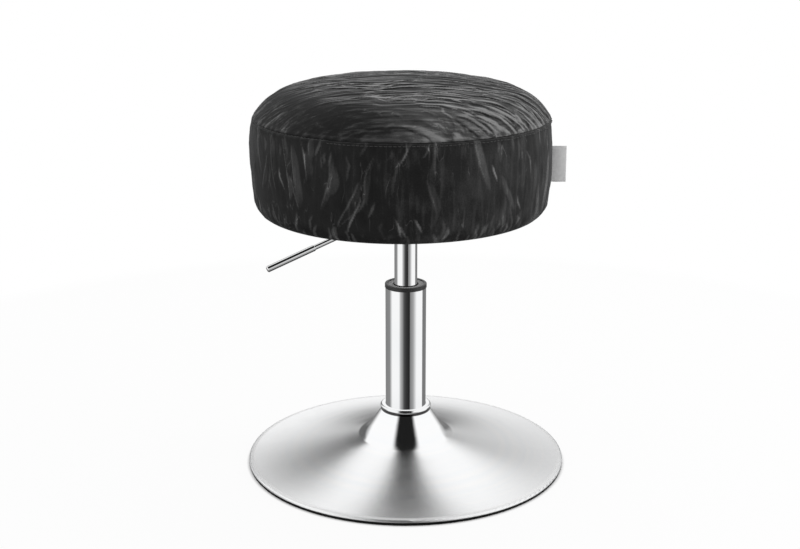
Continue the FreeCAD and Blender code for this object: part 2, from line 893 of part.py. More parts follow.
def make_clip(low, bore):
    """A C-shaped retaining clip that snaps into the rod's groove from the side."""
    body = turned("rod_clip", [
        (bore, low),
        (size.clip_diameter / 2, low),
        (size.clip_diameter / 2, low + size.clip_thickness),
        (bore, low + size.clip_thickness),
    ])
    half = size.clip_mouth / 2
    sketch = new_sketch(body, "XY_Plane", low + size.clip_thickness)
    draw(sketch, [
        (0, -half),
        (size.clip_diameter, -half),
        (size.clip_diameter, half),
        (0, half),
    ])
    pocket(body, sketch)


def make_cylinder():
    """The chromed pressure tube with its rod guide, seal and release valve."""
    lip = cylinder_bore - size.cylinder_lip
    turned("gas_cylinder", [
        (lip, cylinder_low),
        (cylinder_radius - size.cylinder_chamfer, cylinder_low),
        (cylinder_radius, cylinder_low + size.cylinder_chamfer),
        (cylinder_radius, socket_low),
        (cylinder_radius - size.cylinder_taper, cylinder_high),
        (cylinder_bore, cylinder_high),
        (cylinder_bore, guide_low),
        (lip, guide_low),
    ])
    plug = cylinder_bore - size.fit_gap
    rod_hole = rod_radius + size.fit_gap
    for label, low, high in (("rod_guide", guide_low, guide_high), ("rod_seal", guide_high, seal_high)):
        turned(label, [(rod_hole, low), (plug, low), (plug, high), (rod_hole, high)])

    pin_radius = size.pin_diameter / 2
    chamber = size.valve_chamber_diameter / 2
    valve_low = cylinder_high - size.valve_length
    chamber_low, chamber_high = valve_low + size.valve_floor, cylinder_high - size.valve_roof
    turned("valve_body", [
        (pin_radius / 2, valve_low),
        (plug, valve_low),
        (plug, cylinder_high),
        (pin_radius + size.run_gap, cylinder_high),
        (pin_radius + size.run_gap, chamber_high),
        (chamber, chamber_high),
        (chamber, chamber_low),
        (pin_radius / 2, chamber_low),
    ])
    dome = size.pin_dome
    dome_radius = (pin_radius * pin_radius + dome * dome) / (2 * dome)
    shoulder_high = chamber_high - size.run_gap
    shoulder_low = shoulder_high - size.pin_shoulder_height
    shoulder = size.pin_shoulder_diameter / 2
    turned("release_pin", [
        (0, shoulder_low),
        (shoulder, shoulder_low),
        (shoulder, shoulder_high),
        (pin_radius, shoulder_high),
        (pin_radius, pin_high - dome),
        arc(0, pin_high, (0, pin_high - dome_radius)),
    ])


# Seat plate, lever and fasteners


def make_socket():
    """The tapered socket, welded through the pan, that sits on the gas spring's taper."""
    fall = size.cylinder_taper * (socket_high - socket_low) / (cylinder_high - socket_low)
    bore = cylinder_radius + size.fit_gap
    outside, collar = size.socket_diameter / 2, size.socket_collar_diameter / 2
    turned("taper_socket", [
        (bore, socket_low),
        (outside, socket_low),
        (outside, pan_low - size.socket_collar_height),
        (collar, pan_low - size.socket_collar_height),
        (collar, pan_low),
        (outside, pan_low),
        (outside, socket_high),
        (bore - fall, socket_high),
    ])


def make_pan():
    """The pressed plate under the seat: a square flange with a round dish for the lever."""
    body = new_body("seat_plate", size.lever_azimuth)
    half, hole = size.pan_side / 2, size.bolt_diameter / 2 + size.bolt_clearance
    mouth, floor = size.pan_mouth_diameter / 2, size.pan_floor_diameter / 2
    overlap = size.pan_sheet
    sketch = new_sketch(body, "XY_Plane", pan_flange_low)
    draw(sketch, [(-half, -half), (half, -half), (half, half), (-half, half)])
    draw_circle(sketch, 0, 0, mouth + overlap / 2)
    bolt = size.bolt_spacing / 2
    for x, y in ((bolt, bolt), (-bolt, bolt), (-bolt, -bolt), (bolt, -bolt)):
        draw_circle(sketch, x, y, hole)
    pad(body, sketch, size.pan_sheet)
    round_edges(body, size.pan_corner, lambda edge: is_upright(edge) and "Line" in str(edge.Curve))

    socket_hole = size.socket_diameter / 2 + size.fit_gap
    turn(body, [
        (socket_hole, pan_low),
        (floor, pan_low),
        (mouth, pan_flange_low),
        (mouth + overlap, pan_flange_low),
        (mouth + overlap, size.seat_height),
        (mouth - overlap, size.seat_height),
        (floor - overlap, pan_floor),
        (socket_hole, pan_floor),
    ])
    round_edges(body, size.pan_round, is_ring_at(floor, pan_low))

    slot_high = pan_flange_low - size.pan_slot_headroom
    slot_half = size.pan_slot_width / 2
    sketch = new_sketch(body, "YZ_Plane")
    draw(sketch, [
        (-slot_half, slot_high - size.pan_slot_height),
        (slot_half, slot_high - size.pan_slot_height),
        (slot_half, slot_high),
        (-slot_half, slot_high),
    ])
    pocket(body, sketch, mouth + overlap)


def make_lever():
    """The height lever on its bracket in the dish: its finger lies over the valve's pin."""
    swing = size.lever_azimuth
    pivot = (-size.pivot_offset, lever_height)
    half_ear = size.ear_width / 2
    ear_gap = size.boss_width + 2 * size.soft_gap
    bracket_width = ear_gap + 2 * size.ear_thickness

    bracket = new_body("lever_bracket", swing)
    sketch = new_sketch(bracket, "XZ_Plane")
    ear_top = size.boss_diameter / 2
    draw(sketch, [
        (pivot[0] - half_ear, pan_floor),
        (pivot[0] + half_ear, pan_floor),
        (pivot[0] + ear_top, lever_height),
        arc(pivot[0], lever_height + ear_top, pivot),
        arc(pivot[0] - ear_top, lever_height, pivot),
    ])
    pad(bracket, sketch, bracket_width, both_ways=True)
    sketch = new_sketch(bracket, "XZ_Plane")
    channel_low = pan_floor + size.ear_thickness
    draw(sketch, [
        (pivot[0] - size.ear_width, channel_low),
        (pivot[0] + size.ear_width, channel_low),
        (pivot[0] + size.ear_width, size.seat_height),
        (pivot[0] - size.ear_width, size.seat_height),
    ])
    pocket(bracket, sketch, ear_gap, both_ways=True)
    sketch = new_sketch(bracket, "XZ_Plane")
    draw_circle(sketch, *pivot, size.pivot_diameter / 2 + size.fit_gap)
    pocket(bracket, sketch, bracket_width, both_ways=True)

    pin = new_body("lever_pivot_pin", swing)
    sketch = new_sketch(pin, "XZ_Plane")
    draw_circle(sketch, *pivot, size.pivot_diameter / 2)
    shank = bracket_width + 2 * size.fit_gap
    pad(pin, sketch, shank + size.pivot_head, both_ways=True)
    for side in (-1, 1):
        sketch = new_sketch(pin, "XZ_Plane", side * (shank / 2 + size.pivot_head / 2))
        draw_circle(sketch, *pivot, size.pivot_head_diameter / 2)
        pad(pin, sketch, size.pivot_head, both_ways=True)

    make_lever_rod(swing, pivot)


def make_lever_rod(swing, pivot):
    slope_sine = of_angle("lever_sine", "sin", size.lever_slope)
    slope_cosine = of_angle("lever_cosine", "cos", size.lever_slope)
    half_turn = of_angle("lever_half_turn", "tan", size.lever_slope / 2)
    tangent = work_out("lever_tangent", size.lever_bend_radius * half_turn)
    rod = size.lever_diameter / 2
    run = work_out("lever_run", (size.lever_reach - size.lever_bend) / slope_cosine)

    def along(distance, offset):
        """A point at a distance past the bend, offset square to the sloping part, upwards."""
        return (
            -size.lever_bend - distance * slope_cosine - offset * slope_sine,
            lever_height - distance * slope_sine + offset * slope_cosine,
        )

    grip_end = size.grip_end + size.fit_gap
    bend_centre = (tangent - size.lever_bend, lever_height - size.lever_bend_radius)
    lever = new_body("lever_rod", swing)
    path = new_sketch(lever, "XZ_Plane")
    draw(path, [
        (size.lever_finger, lever_height),
        (tangent - size.lever_bend, lever_height),
        arc(*along(tangent, 0), bend_centre),
        along(run - grip_end, 0),
    ], closed=False)
    section = new_sketch(lever, "YZ_Plane", size.lever_finger)
    draw_circle(section, 0, lever_height, rod)
    pipe = lever.newObject("PartDesign::AdditivePipe", "lever_rod_pipe")
    pipe.Profile = section
    pipe.Spine = (path, [])
    doc.recompute()
    sketch = new_sketch(lever, "XZ_Plane")
    draw_circle(sketch, *pivot, size.boss_diameter / 2)
    pad(lever, sketch, size.boss_width, both_ways=True)
    sketch = new_sketch(lever, "XZ_Plane")
    draw_circle(sketch, *pivot, size.pivot_diameter / 2 + size.fit_gap)
    pocket(lever, sketch, size.boss_width, both_ways=True)

    grip, bore, bevel = size.grip_diameter / 2, rod + size.fit_gap, size.grip_round
    start = run - size.grip_length
    turned("lever_grip", [
        along(start, bore),
        along(start, grip - bevel / 2),
        along(start + bevel / 2, grip),
        along(run - bevel, grip),
        along(run, grip - bevel),
        along(run, 0),
        along(run - size.grip_end, 0),
        along(run - size.grip_end, bore),
    ], swing, axis=(along(start, 0), along(run, 0)))


def make_fasteners():
    """Four bolts with washers, and the tee nuts that they pull into the board."""
    bolt = size.bolt_diameter / 2
    centre = (bolt_circle, 0)
    up = ((bolt_circle, 0), (bolt_circle, board_high))
    washer_low = pan_flange_low - size.washer_thickness
    head_low = washer_low - size.bolt_head_height

    washers = new_body("bolt_washers", bolt_swing)
    washer_bore, washer_rim = bolt + size.bolt_clearance, size.washer_diameter / 2
    ring = turn(washers, [
        (bolt_circle + washer_bore, washer_low),
        (bolt_circle + washer_rim, washer_low),
        (bolt_circle + washer_rim, pan_flange_low),
        (bolt_circle + washer_bore, pan_flange_low),
    ], axis=up)
    repeat(washers, [ring], BOLT_COUNT)

    bolts = new_body("seat_bolts", bolt_swing)
    sketch = new_sketch(bolts, "XY_Plane", head_low)
    flat = size.bolt_head_width / 2
    point = work_out("bolt_head_point", flat * (2 / 3**0.5))
    draw(sketch, [
        (centre[0] + point, 0),
        (centre[0] + point / 2, flat),
        (centre[0] - point / 2, flat),
        (centre[0] - point, 0),
        (centre[0] - point / 2, -flat),
        (centre[0] + point / 2, -flat),
    ])
    head = pad(bolts, sketch, size.bolt_head_height)
    sketch = new_sketch(bolts, "XY_Plane", head_low)
    draw_circle(sketch, *centre, bolt)
    shank = pad(bolts, sketch, board_low + size.bolt_grip - head_low)
    repeat(bolts, [head, shank], BOLT_COUNT)

    nuts = new_body("tee_nuts", bolt_swing)
    bore = bolt + size.fit_gap
    barrel = bore + size.tee_nut_barrel_wall
    flange = size.tee_nut_diameter / 2
    nut = turn(nuts, [
        (bolt_circle + bore, board_high - size.tee_nut_length),
        (bolt_circle + barrel, board_high - size.tee_nut_length),
        (bolt_circle + barrel, board_high - size.tee_nut_flange),
        (bolt_circle + flange, board_high - size.tee_nut_flange),
        (bolt_circle + flange, board_high),
        (bolt_circle + bore, board_high),
    ], axis=up)
    repeat(nuts, [nut], BOLT_COUNT)
    return barrel + size.fit_gap, flange + size.fit_gap


# Upholstered seat


def make_board(nut_hole, nut_recess):
    body = new_body("seat_board", bolt_swing)
    sketch = new_sketch(body, "XY_Plane", board_low)
    draw_circle(sketch, 0, 0, board_radius)
    pad(body, sketch, size.board_thickness)
    round_edges(body, size.board_round, lambda edge: True)
    sketch = new_sketch(body, "XY_Plane", board_high)
    draw_circle(sketch, bolt_circle, 0, nut_hole)
    hole = pocket(body, sketch)
    sketch = new_sketch(body, "XY_Plane", board_high)
    draw_circle(sketch, bolt_circle, 0, nut_recess)
    recess = pocket(body, sketch, size.tee_nut_flange + size.fit_gap)
    repeat(body, [hole, recess], BOLT_COUNT)

    dust = new_body("dust_cover", bolt_swing)
    sketch = new_sketch(dust, "XY_Plane", size.seat_height)
    draw_circle(sketch, 0, 0, hem_radius - size.soft_gap)
    hole_radius = size.bolt_diameter / 2 + size.bolt_clearance
    for x, y in ((bolt_circle, 0), (0, bolt_circle), (-bolt_circle, 0), (0, -bolt_circle)):
        draw_circle(sketch, x, y, hole_radius)
    pad(dust, sketch, size.dust_cover_thickness)


def make_upholstery():
    """The foam pad, the domed top panel of the cover and the side band that wraps under the board."""
    thick = size.cover_thickness
    inset = thick + size.soft_gap
    board_gap = size.soft_gap
    turned("seat_foam", [
        (0, board_high + board_gap),
        (board_radius + board_gap, board_high + board_gap),
        (board_radius + board_gap, size.seat_height + inset),
        (edge_centre[0], size.seat_height + inset),
        arc(*edge_join(inset), edge_centre),
        arc(side_at("foam_seam_side", seam_level, inset), seam_level, side_centre),
        (shoulder_at("foam_seam_top", seam_level, inset), seam_level),
        arc(*shoulder_join(inset), shoulder_centre),
        arc(0, crown_level - inset, crown_centre),
    ])
    turned("cover_top_panel", [
        (seam_radius, seam_level),
        arc(*shoulder_join(0), shoulder_centre),
        arc(0, crown_level, crown_centre),
        (0, crown_level - thick),
        arc(*shoulder_join(thick), crown_centre),
        arc(shoulder_at("panel_seam_inside", seam_level, thick), seam_level, shoulder_centre),
    ])
    band_top = seam_level - size.soft_gap / 2
    turned("cover_side_band", [
        (hem_radius, size.seat_height),
        (edge_centre[0], size.seat_height),
        arc(*edge_join(0), edge_centre),
        arc(side_at("band_top_outside", band_top, 0), band_top, side_centre),
        (side_at("band_top_inside", band_top, thick), band_top),
        arc(*edge_join(thick), side_centre),
        arc(edge_centre[0], size.seat_height + thick, edge_centre),
        (hem_radius, size.seat_height + thick),
    ])


def make_label():
    """A blank woven tab, folded double, that sticks out of the side band's upright seam."""
    body = new_body("side_label")
    low = size.seat_height + size.label_bottom
    high = low + size.label_height
    tip = seat_radius + size.label_reach
    root_low = side_at("label_root_low", low, -size.fit_gap)
    root_high = side_at("label_root_high", high, -size.fit_gap)
    sketch = new_sketch(body, "XZ_Plane")
    draw(sketch, [
        arc(root_low, low, side_centre),
        (tip, low),
        (tip, high),
        (root_high, high),
    ])
    pad(body, sketch, size.label_thickness, both_ways=True)
    sketch = new_sketch(body, "XZ_Plane")
    draw(sketch, [
        (root_low - size.label_reach, low),
        (tip - size.label_ply, low),
        (tip - size.label_ply, high),
        (root_high - size.label_reach, high),
    ])
    pocket(body, sketch, size.label_thickness - 2 * size.label_ply, both_ways=True)


def check_and_write():
    """Stops on any failed feature or bad solid, then writes one file for each piece."""
    doc.recompute()
    for item in doc.Objects:
        if "Invalid" in item.State or "Error" in item.State:
            raise RuntimeError(f"{item.Label} failed: {item.State}")
    for body in pieces:
        shape = body.Shape
        if shape.isNull() or not shape.isValid() or not shape.Solids:
            raise RuntimeError(f"{body.Label} has no valid solid")
    os.makedirs("parts", exist_ok=True)
    for body in pieces:
        body.Shape.exportStep(os.path.join("parts", body.Label + ".step"))
    print(f"wrote {len(pieces)} pieces")


make_base()
make_hub()
make_column()
make_bearing()
make_rod()
make_cylinder()
make_socket()
make_pan()
make_lever()
make_board(*make_fasteners())
make_upholstery()
make_label()
check_and_write()
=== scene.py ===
"""Swivel vanity stool: upholstery, finishes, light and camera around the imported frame."""

import json
import math
import random
from collections import namedtuple

import bpy
import numpy as np
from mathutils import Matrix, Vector, geometry, noise
from mathutils.bvhtree import BVHTree

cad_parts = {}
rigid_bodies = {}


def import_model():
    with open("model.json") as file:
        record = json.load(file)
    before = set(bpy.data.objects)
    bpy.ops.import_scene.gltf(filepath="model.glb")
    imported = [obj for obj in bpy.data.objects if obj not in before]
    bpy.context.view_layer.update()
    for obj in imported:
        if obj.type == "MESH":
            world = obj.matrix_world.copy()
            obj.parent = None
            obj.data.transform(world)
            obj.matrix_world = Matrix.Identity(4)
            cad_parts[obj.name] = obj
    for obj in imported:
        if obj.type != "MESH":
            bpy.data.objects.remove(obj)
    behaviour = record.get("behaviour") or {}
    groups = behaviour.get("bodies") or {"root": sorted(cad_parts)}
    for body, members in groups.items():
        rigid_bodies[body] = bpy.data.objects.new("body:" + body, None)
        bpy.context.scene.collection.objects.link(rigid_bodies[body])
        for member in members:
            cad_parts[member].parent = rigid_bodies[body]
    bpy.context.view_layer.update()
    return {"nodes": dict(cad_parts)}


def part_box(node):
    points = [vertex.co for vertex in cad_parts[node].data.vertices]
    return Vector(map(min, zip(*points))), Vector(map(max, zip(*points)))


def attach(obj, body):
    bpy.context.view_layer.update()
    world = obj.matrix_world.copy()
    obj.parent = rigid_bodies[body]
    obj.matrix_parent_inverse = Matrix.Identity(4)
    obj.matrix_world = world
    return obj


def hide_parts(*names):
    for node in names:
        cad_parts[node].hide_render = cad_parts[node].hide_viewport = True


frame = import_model()
nodes = frame["nodes"]
scene = bpy.context.scene

# Sizes in metres. The seat's main sizes come from the frame, its arcs from these values.
SIDE_RADIUS = 0.365
BULGE_HEIGHT = 0.0675
EDGE_ROUND = 0.0215
SEAM_LEAN = math.radians(59.5)
SHOULDER_RADIUS = 0.073

# Cover: mesh, seam, simulation and creases
COVER_SPACING = 0.0034
SEAM_SIDES = 328
SEAM_HALF_WIDTH = 0.0007
SEAM_DEPTH = 0.0034
HEM_TURN = 0.0008
FLOOR_SPACING = 0.016
TOP_SLACK = (1.008, 1.04)
BAND_SLACK = 1.035
SLACK_WANDER = 0.0016
SLACK_PATCH = 0.036
PAD_GRIP = 0.62
SIM_FRAMES = 20
MOST_MOVE = 0.0035
SEED_STEP = 17.3
NOISE_SEED = 2
CREASE_SINK = 0.0009
PUCKER_SIZE = 0.008
PUCKER_DEPTH = 0.0015
PUCKER_REACH = 0.005
PLEAT_DEPTH = 0.0014
PLEAT_RADIUS = 0.162
COVER_LEAN = -0.0054
# Sides and directions for the velvet's creases and painted light: the calm side has fewer creases and is
# painted darker; the front, the gathers' side and the fold side are painted lighter; flanks facing
# TOP_LIGHT are painted lighter. TOP_NAP and BAND_NAP are the colour's base levels.
CALM_SIDE = math.radians(-138.0)
FRONT_SIDE = math.radians(-84.0)
GATHER_SIDE = math.radians(-28.0)
FOLD_SIDE = math.radians(-35.0)
TOP_LIGHT = (0.25, 0.95, 0.2)
TOP_NAP = 0.28
BAND_NAP = 0.128
FOLD_EDGE = 0.0016
FOLD_KINK = 0.0022
FOLD_STEEP = 0.16
FLOW_PATCH = 0.055
SIDEWAYS = -math.pi / 2
TOP_SPAN = (-0.18, 0.18)
TOP_RIDGE = 0.0009
RIGHT_GATHERS = (-1.45, 0.45)
LEFT_GATHERS = (-3.1, -2.2)
BAND_FACET = 0.0011
BAND_SWELL = 0.0016

# Small soft pieces
STITCHES = 222
STITCH_BELOW = 0.0032
STITCH_SHARE = 0.72
STITCH_RADIUS = 0.00036
DUST_SPACING = 0.005
DUST_THICK = 0.0006
DUST_SAG = 0.0012
DUST_LOOSE = (0.118, 0.124)
DUST_HELD = (0.132, 0.136)
DUST_WAVES = (0.116, 0.122)
STAPLES = 20
STAPLE_CIRCLE = 0.127
STAPLE_WIDTH = 0.011
STAPLE_LEG = 0.004
STAPLE_RADIUS = 0.00045
TAPE_THICK = 0.0004
TAB_ROOT = 0.168
TAB_SWAY = 0.0007
TAB_OPEN = 0.0011
TAB_SHORT = 0.0042

# Places on the base where its finish changes: radii, and the height of the lip's lower edge; the line below
# the neck's ring is painted shade, the lip's lower edge partly rubber trim and partly painted shade
NECK_SHADE_LINE = (0.0306, 0.0310)
CONE_TO_FLARE = (0.050, 0.080)
FLARE_TO_LIP = (0.1905, 0.195)
LIP_RUBBER_AND_SHADE = (0.0036, 0.0040)

# Stage
FLOOR_REACH = 8.0
SHADOW_WHITE = 0.92
CONTACT_WHITE = 0.0
CONTACT_REACH = (0.1965, 0.2010)
SHADOW_REACH = (0.2, 1.0)
SOFT_LEVEL = 0.8
BOX_LEVEL = 1.15
LENS = 61.6
CAMERA_PLACE = (-0.0071, -1.608, 0.706)
CAMERA_TILT = math.radians(73.83)


# Upholstery profile


def arc(centre, radius, start, end, count=80):
    """Points on an arc in the (r, z) plane, from one angle to another."""
    angles = np.linspace(start, end, count)
    return np.stack([centre[0] + radius * np.cos(angles), centre[1] + radius * np.sin(angles)], axis=1)


def angle_to(centre, point):
    return math.atan2(point[1] - centre[1], point[0] - centre[0])


class Profile:
    """A line in the (r, z) plane that can be read by the distance along it."""

    def __init__(self, points):
        self.points = np.array(points)
        steps = np.linalg.norm(np.diff(self.points, axis=0), axis=1)
        self.distance = np.concatenate([[0.0], np.cumsum(steps)])
        self.length = self.distance[-1]

    def at(self, distance):
        r = np.interp(distance, self.distance, self.points[:, 0])
        z = np.interp(distance, self.distance, self.points[:, 1])
        return r, z


def seat_profiles():
    """The cover's outer lines: from the crown's middle to the seam, and from the seam to the hem."""
    band_low, band_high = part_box("cover_side_band")
    panel_low, panel_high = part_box("cover_top_panel")
    hem_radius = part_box("dust_cover")[1].x
    radius, low, seam, top = band_high.x, band_low.z, panel_low.z, panel_high.z

    side = (radius - SIDE_RADIUS, low + BULGE_HEIGHT)
    edge_reach = SIDE_RADIUS - EDGE_ROUND
    edge_drop = low + EDGE_ROUND - side[1]
    edge = (side[0] + math.sqrt(edge_reach**2 - edge_drop**2), low + EDGE_ROUND)
    seam_point = (side[0] + math.sqrt(SIDE_RADIUS**2 - (seam - side[1]) ** 2), seam)

    shoulder = (
        seam_point[0] - SHOULDER_RADIUS * math.sin(SEAM_LEAN),
        seam - SHOULDER_RADIUS * math.cos(SEAM_LEAN),
    )
    drop = shoulder[1] - top
    crown_radius = (SHOULDER_RADIUS**2 - shoulder[0] ** 2 - drop**2) / (2 * (drop + SHOULDER_RADIUS))
    crown = (0.0, top - crown_radius)
    join = angle_to(crown, shoulder)

    panel = np.concatenate([
        arc(crown, crown_radius, math.pi / 2, join),
        arc(shoulder, SHOULDER_RADIUS, join, angle_to(shoulder, seam_point))[1:],
    ])
    edge_join = angle_to(side, edge)
    band = np.concatenate([
        arc(side, SIDE_RADIUS, angle_to(side, seam_point), edge_join),
        arc(edge, EDGE_ROUND, edge_join, -math.pi / 2)[1:],
        [(hem_radius, low)],
    ])
    return Profile(panel), Profile(band)


panel_line, band_line = seat_profiles()
seam_radius, seam_height = band_line.points[0]
hem_radius, hem_height = band_line.points[-1]


# Noise on arrays of points. Its vectors follow the clock unless they get a seed.
noise.seed_set(NOISE_SEED)


def smooth(points, size, seed):
    """Smooth noise, about -1 to 1, with features of the given size along each axis."""
    scaled = points / np.array(size) + seed * SEED_STEP
    return np.array([noise.noise(p) for p in scaled.tolist()])


def wander(points, size, amount, seed):
    """The points moved about by a smooth noise."""
    scaled = points / size + seed * SEED_STEP
    return points + amount * np.array([noise.noise_vector(p) for p in scaled.tolist()])


def twisted(points, turn):
    """The points turned about Z by an angle that grows with their height, in radians per metre."""
    angle = points[:, 2] * turn
    x = points[:, 0] * np.cos(angle) - points[:, 1] * np.sin(angle)
    y = points[:, 0] * np.sin(angle) + points[:, 1] * np.cos(angle)
    return np.stack([x, y, points[:, 2]], axis=1)


def ridges(points, size, seed):
    """Sharp crests along the lines where a smooth noise crosses zero: 1 on the crest, 0 away from it."""
    return 1.0 - np.minimum(1.0, 2.4 * np.abs(smooth(points, size, seed)))


def facets(points, size, seed):
    """Flat facets between sharp folds, 0 in the folds."""
    scaled = points / np.array(size) + seed * SEED_STEP
    height = np.empty(len(points))
    for index, place in enumerate(scaled.tolist()):
        gaps, _ = noise.voronoi(place, distance_metric="DISTANCE_SQUARED")
        height[index] = gaps[1] - gaps[0]
    return np.minimum(height, 0.8)


def ramp(values, low, high):
    """0 below low, 1 above high, smooth between."""
    share = np.clip((values - low) / (high - low), 0.0, 1.0)
    return share * share * (3.0 - 2.0 * share)


# Mesh helpers


def add_mesh(name, points, faces):
    """A new object from plain lists of points and faces, shaded smooth."""
    mesh = bpy.data.meshes.new(name)
    mesh.from_pydata([tuple(p) for p in points], [], faces)
    mesh.shade_smooth()
    made = bpy.data.objects.new(name, mesh)
    scene.collection.objects.link(made)
    return made


def settle(source, name):
    """A new object with the source's evaluated mesh, modifiers applied. The source goes."""
    graph = bpy.context.evaluated_depsgraph_get()
    mesh = bpy.data.meshes.new_from_object(source.evaluated_get(graph))
    bpy.data.objects.remove(source)
    made = bpy.data.objects.new(name, mesh)
    made.data.name = name
    scene.collection.objects.link(made)
    return made


def points_of(mesh, what="co"):
    values = np.zeros(len(mesh.vertices) * 3)
    mesh.vertices.foreach_get(what, values)
    return values.reshape(-1, 3)


def dress(piece, material, body):
    """Gives a new piece its finish, the record's slot and the body that it rides on."""
    piece.data.materials.clear()
    piece.data.materials.append(material)
    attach(piece, body)


# Seat cover: a top panel and a side band over the foam, with a sewn seam between them


def ring(radius, height, turn=0.0):
    """One round of the cover's points, turned by a share of a step."""
    angles = (np.arange(SEAM_SIDES) + turn) * 2 * math.pi / SEAM_SIDES
    return np.stack([radius * np.cos(angles), radius * np.sin(angles), np.full(SEAM_SIDES, height)], axis=1)


def filled_ring(rim, spacing):
    """A round outline filled with a hexagonal lattice: flat places, the outline last, and triangles."""
    reach = math.hypot(*rim[0])
    row_gap = spacing * math.sqrt(3) / 2
    rows = int(reach / row_gap)
    columns = int(reach / spacing) + 1
    places = []
    for row in range(-rows, rows + 1):
        shift = 0.5 * (row % 2)
        for column in range(-columns, columns + 1):
            place = ((column + shift) * spacing, row * row_gap)
            if math.hypot(*place) < reach - 0.6 * spacing:
                places.append(place)
    inner = len(places)
    edges = [(inner + i, inner + (i + 1) % SEAM_SIDES) for i in range(SEAM_SIDES)]
    made = geometry.delaunay_2d_cdt([Vector(p) for p in [*places, *rim]], edges, [], 1, 1e-7)
    return np.array([tuple(p) for p in made[0]]), [tuple(face) for face in made[2]]


def top_panel():
    """Points and triangles of the top panel, its sewn edge last."""
    rim = ring(panel_line.length - SEAM_HALF_WIDTH, 0.0)[:, :2]
    flat, faces = filled_ring(rim, COVER_SPACING)
    distance = np.hypot(flat[:, 0], flat[:, 1])
    r, z = panel_line.at(distance)
    share = r / np.maximum(distance, 1e-9)
    return np.stack([flat[:, 0] * share, flat[:, 1] * share, z], axis=1), faces


def band_rings():
    """The seam's groove and the side band, round by round down to the hem, each with its turn."""
    lean = (SEAM_LEAN + math.pi / 2) / 2
    groove_radius = seam_radius - SEAM_DEPTH * math.sin(lean)
    groove_height = seam_height - SEAM_DEPTH * math.cos(lean)
    rounds = [(groove_radius, groove_height, 0.0)]
    cloth = band_line.length - SEAM_HALF_WIDTH
    rows = round(cloth / (COVER_SPACING * math.sqrt(3) / 2))
    for row in range(rows + 1):
        rounds.append((*band_line.at(SEAM_HALF_WIDTH + cloth * row / rows), 0.5 * (row % 2)))
    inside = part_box("dust_cover")[1].z + HEM_TURN
    rounds.append((hem_radius - HEM_TURN, inside, rounds[-1][2]))
    return rounds


def strip(upper, lower, turn, next_turn):
    """Faces between two rounds of points, given by their first numbers."""
    faces = []
    for i in range(SEAM_SIDES):
        j = (i + 1) % SEAM_SIDES
        if next_turn == turn:
            faces.append((upper + i, lower + i, lower + j, upper + j))
        elif next_turn > turn:
            faces.append((upper + i, lower + i, upper + j))
            faces.append((upper + j, lower + i, lower + j))
        else:
            faces.append((upper + i, lower + i, lower + j))
            faces.append((upper + i, lower + j, upper + j))
    return faces


def cover_mesh():
    """Points and faces of the whole cover, closed under the seat, and the number of its top points."""
    top, faces = top_panel()
    points = [top]
    upper = len(top) - SEAM_SIDES
    lower = len(top)
    turn = 0.0
    for radius, height, next_turn in band_rings():
        points.append(ring(radius, height, next_turn))
        faces += strip(upper, lower, turn, next_turn)
        upper, turn = lower, next_turn
        lower += SEAM_SIDES
    rim = points.pop()
    flat, under = filled_ring(rim[:, :2], FLOOR_SPACING)
    points.append(np.column_stack([flat, np.full(len(flat), rim[0, 2])]))
    shift = len(flat) - SEAM_SIDES
    faces = [tuple(i + shift if i >= upper else i for i in face) for face in faces]
    faces += [tuple(upper + i for i in reversed(face)) for face in under]
    return np.concatenate(points), faces, len(top)


def loose_cut(points, top_count):
    """The cover as it was cut, a little too large, so that it lies in folds on its pad."""
    cut = points.copy()
    cut[:top_count, 0] *= TOP_SLACK[0]
    cut[:top_count, 1] *= TOP_SLACK[1]
    cut[top_count:, :2] *= BAND_SLACK
    return wander(cut, SLACK_PATCH, SLACK_WANDER, 3)


def crumple(cover, points, top_count):
    """Settles the loose cover on the foam with a cloth simulation, and gives back its points."""
    cover.shape_key_add(name="Basis")
    cut = cover.shape_key_add(name="cut")
    cut.data.foreach_set("co", loose_cut(points, top_count).ravel())
    held = cover.vertex_groups.new(name="held")
    everywhere = range(len(points))
    held.add(list(everywhere), PAD_GRIP, "REPLACE")
    sewn = range(top_count - SEAM_SIDES, top_count + 2 * SEAM_SIDES)
    hem = np.nonzero(points[:, 2] < hem_height + HEM_TURN)[0].tolist()
    held.add([*sewn, *hem], 1.0, "REPLACE")

    cloth = cover.modifiers.new("cloth", "CLOTH")
    settings = cloth.settings
    settings.rest_shape_key = cut
    settings.vertex_group_mass = held.name
    settings.pin_stiffness = 1.0
    settings.quality = 6
    settings.mass = 0.05
    settings.tension_stiffness = 25.0
    settings.compression_stiffness = 25.0
    settings.shear_stiffness = 12.0
    settings.bending_stiffness = 0.4
    settings.use_pressure = True
    settings.uniform_pressure_force = 0.4
    settings.effector_weights.gravity = 0.0
    cloth.collision_settings.use_collision = False
    cloth.point_cache.frame_end = SIM_FRAMES
    for number in range(1, SIM_FRAMES + 1):
        scene.frame_set(number)
    graph = bpy.context.evaluated_depsgraph_get()
    settled = points_of(cover.evaluated_get(graph).data)
    scene.frame_set(1)

    moved = settled - points
    length = np.linalg.norm(moved, axis=1, keepdims=True)
    moved *= np.minimum(1.0, MOST_MOVE / np.maximum(length, 1e-9))
    return points + moved


Fold = namedtuple("Fold", "u v length width lean kink shine")


def scatter(count, seed, across, up, length, width, lean, shine):
    """Folds at chance places of a flat area, with sizes between two values. Neighbours lean about alike."""
    chance = random.Random(seed)
    folds = []
    for _ in range(count):
        place = chance.uniform(*across), chance.uniform(*up)
        size = chance.uniform(*length), chance.uniform(*width)
        flow = 2.2 * noise.noise((place[0] / FLOW_PATCH, place[1] / FLOW_PATCH, 0.6))
        turn = lean[0] + lean[1] * (flow + chance.gauss(0.0, 0.35))
        folds.append(Fold(*place, *size, turn, chance.gauss(0.0, FOLD_KINK), chance.uniform(*shine)))
    return folds


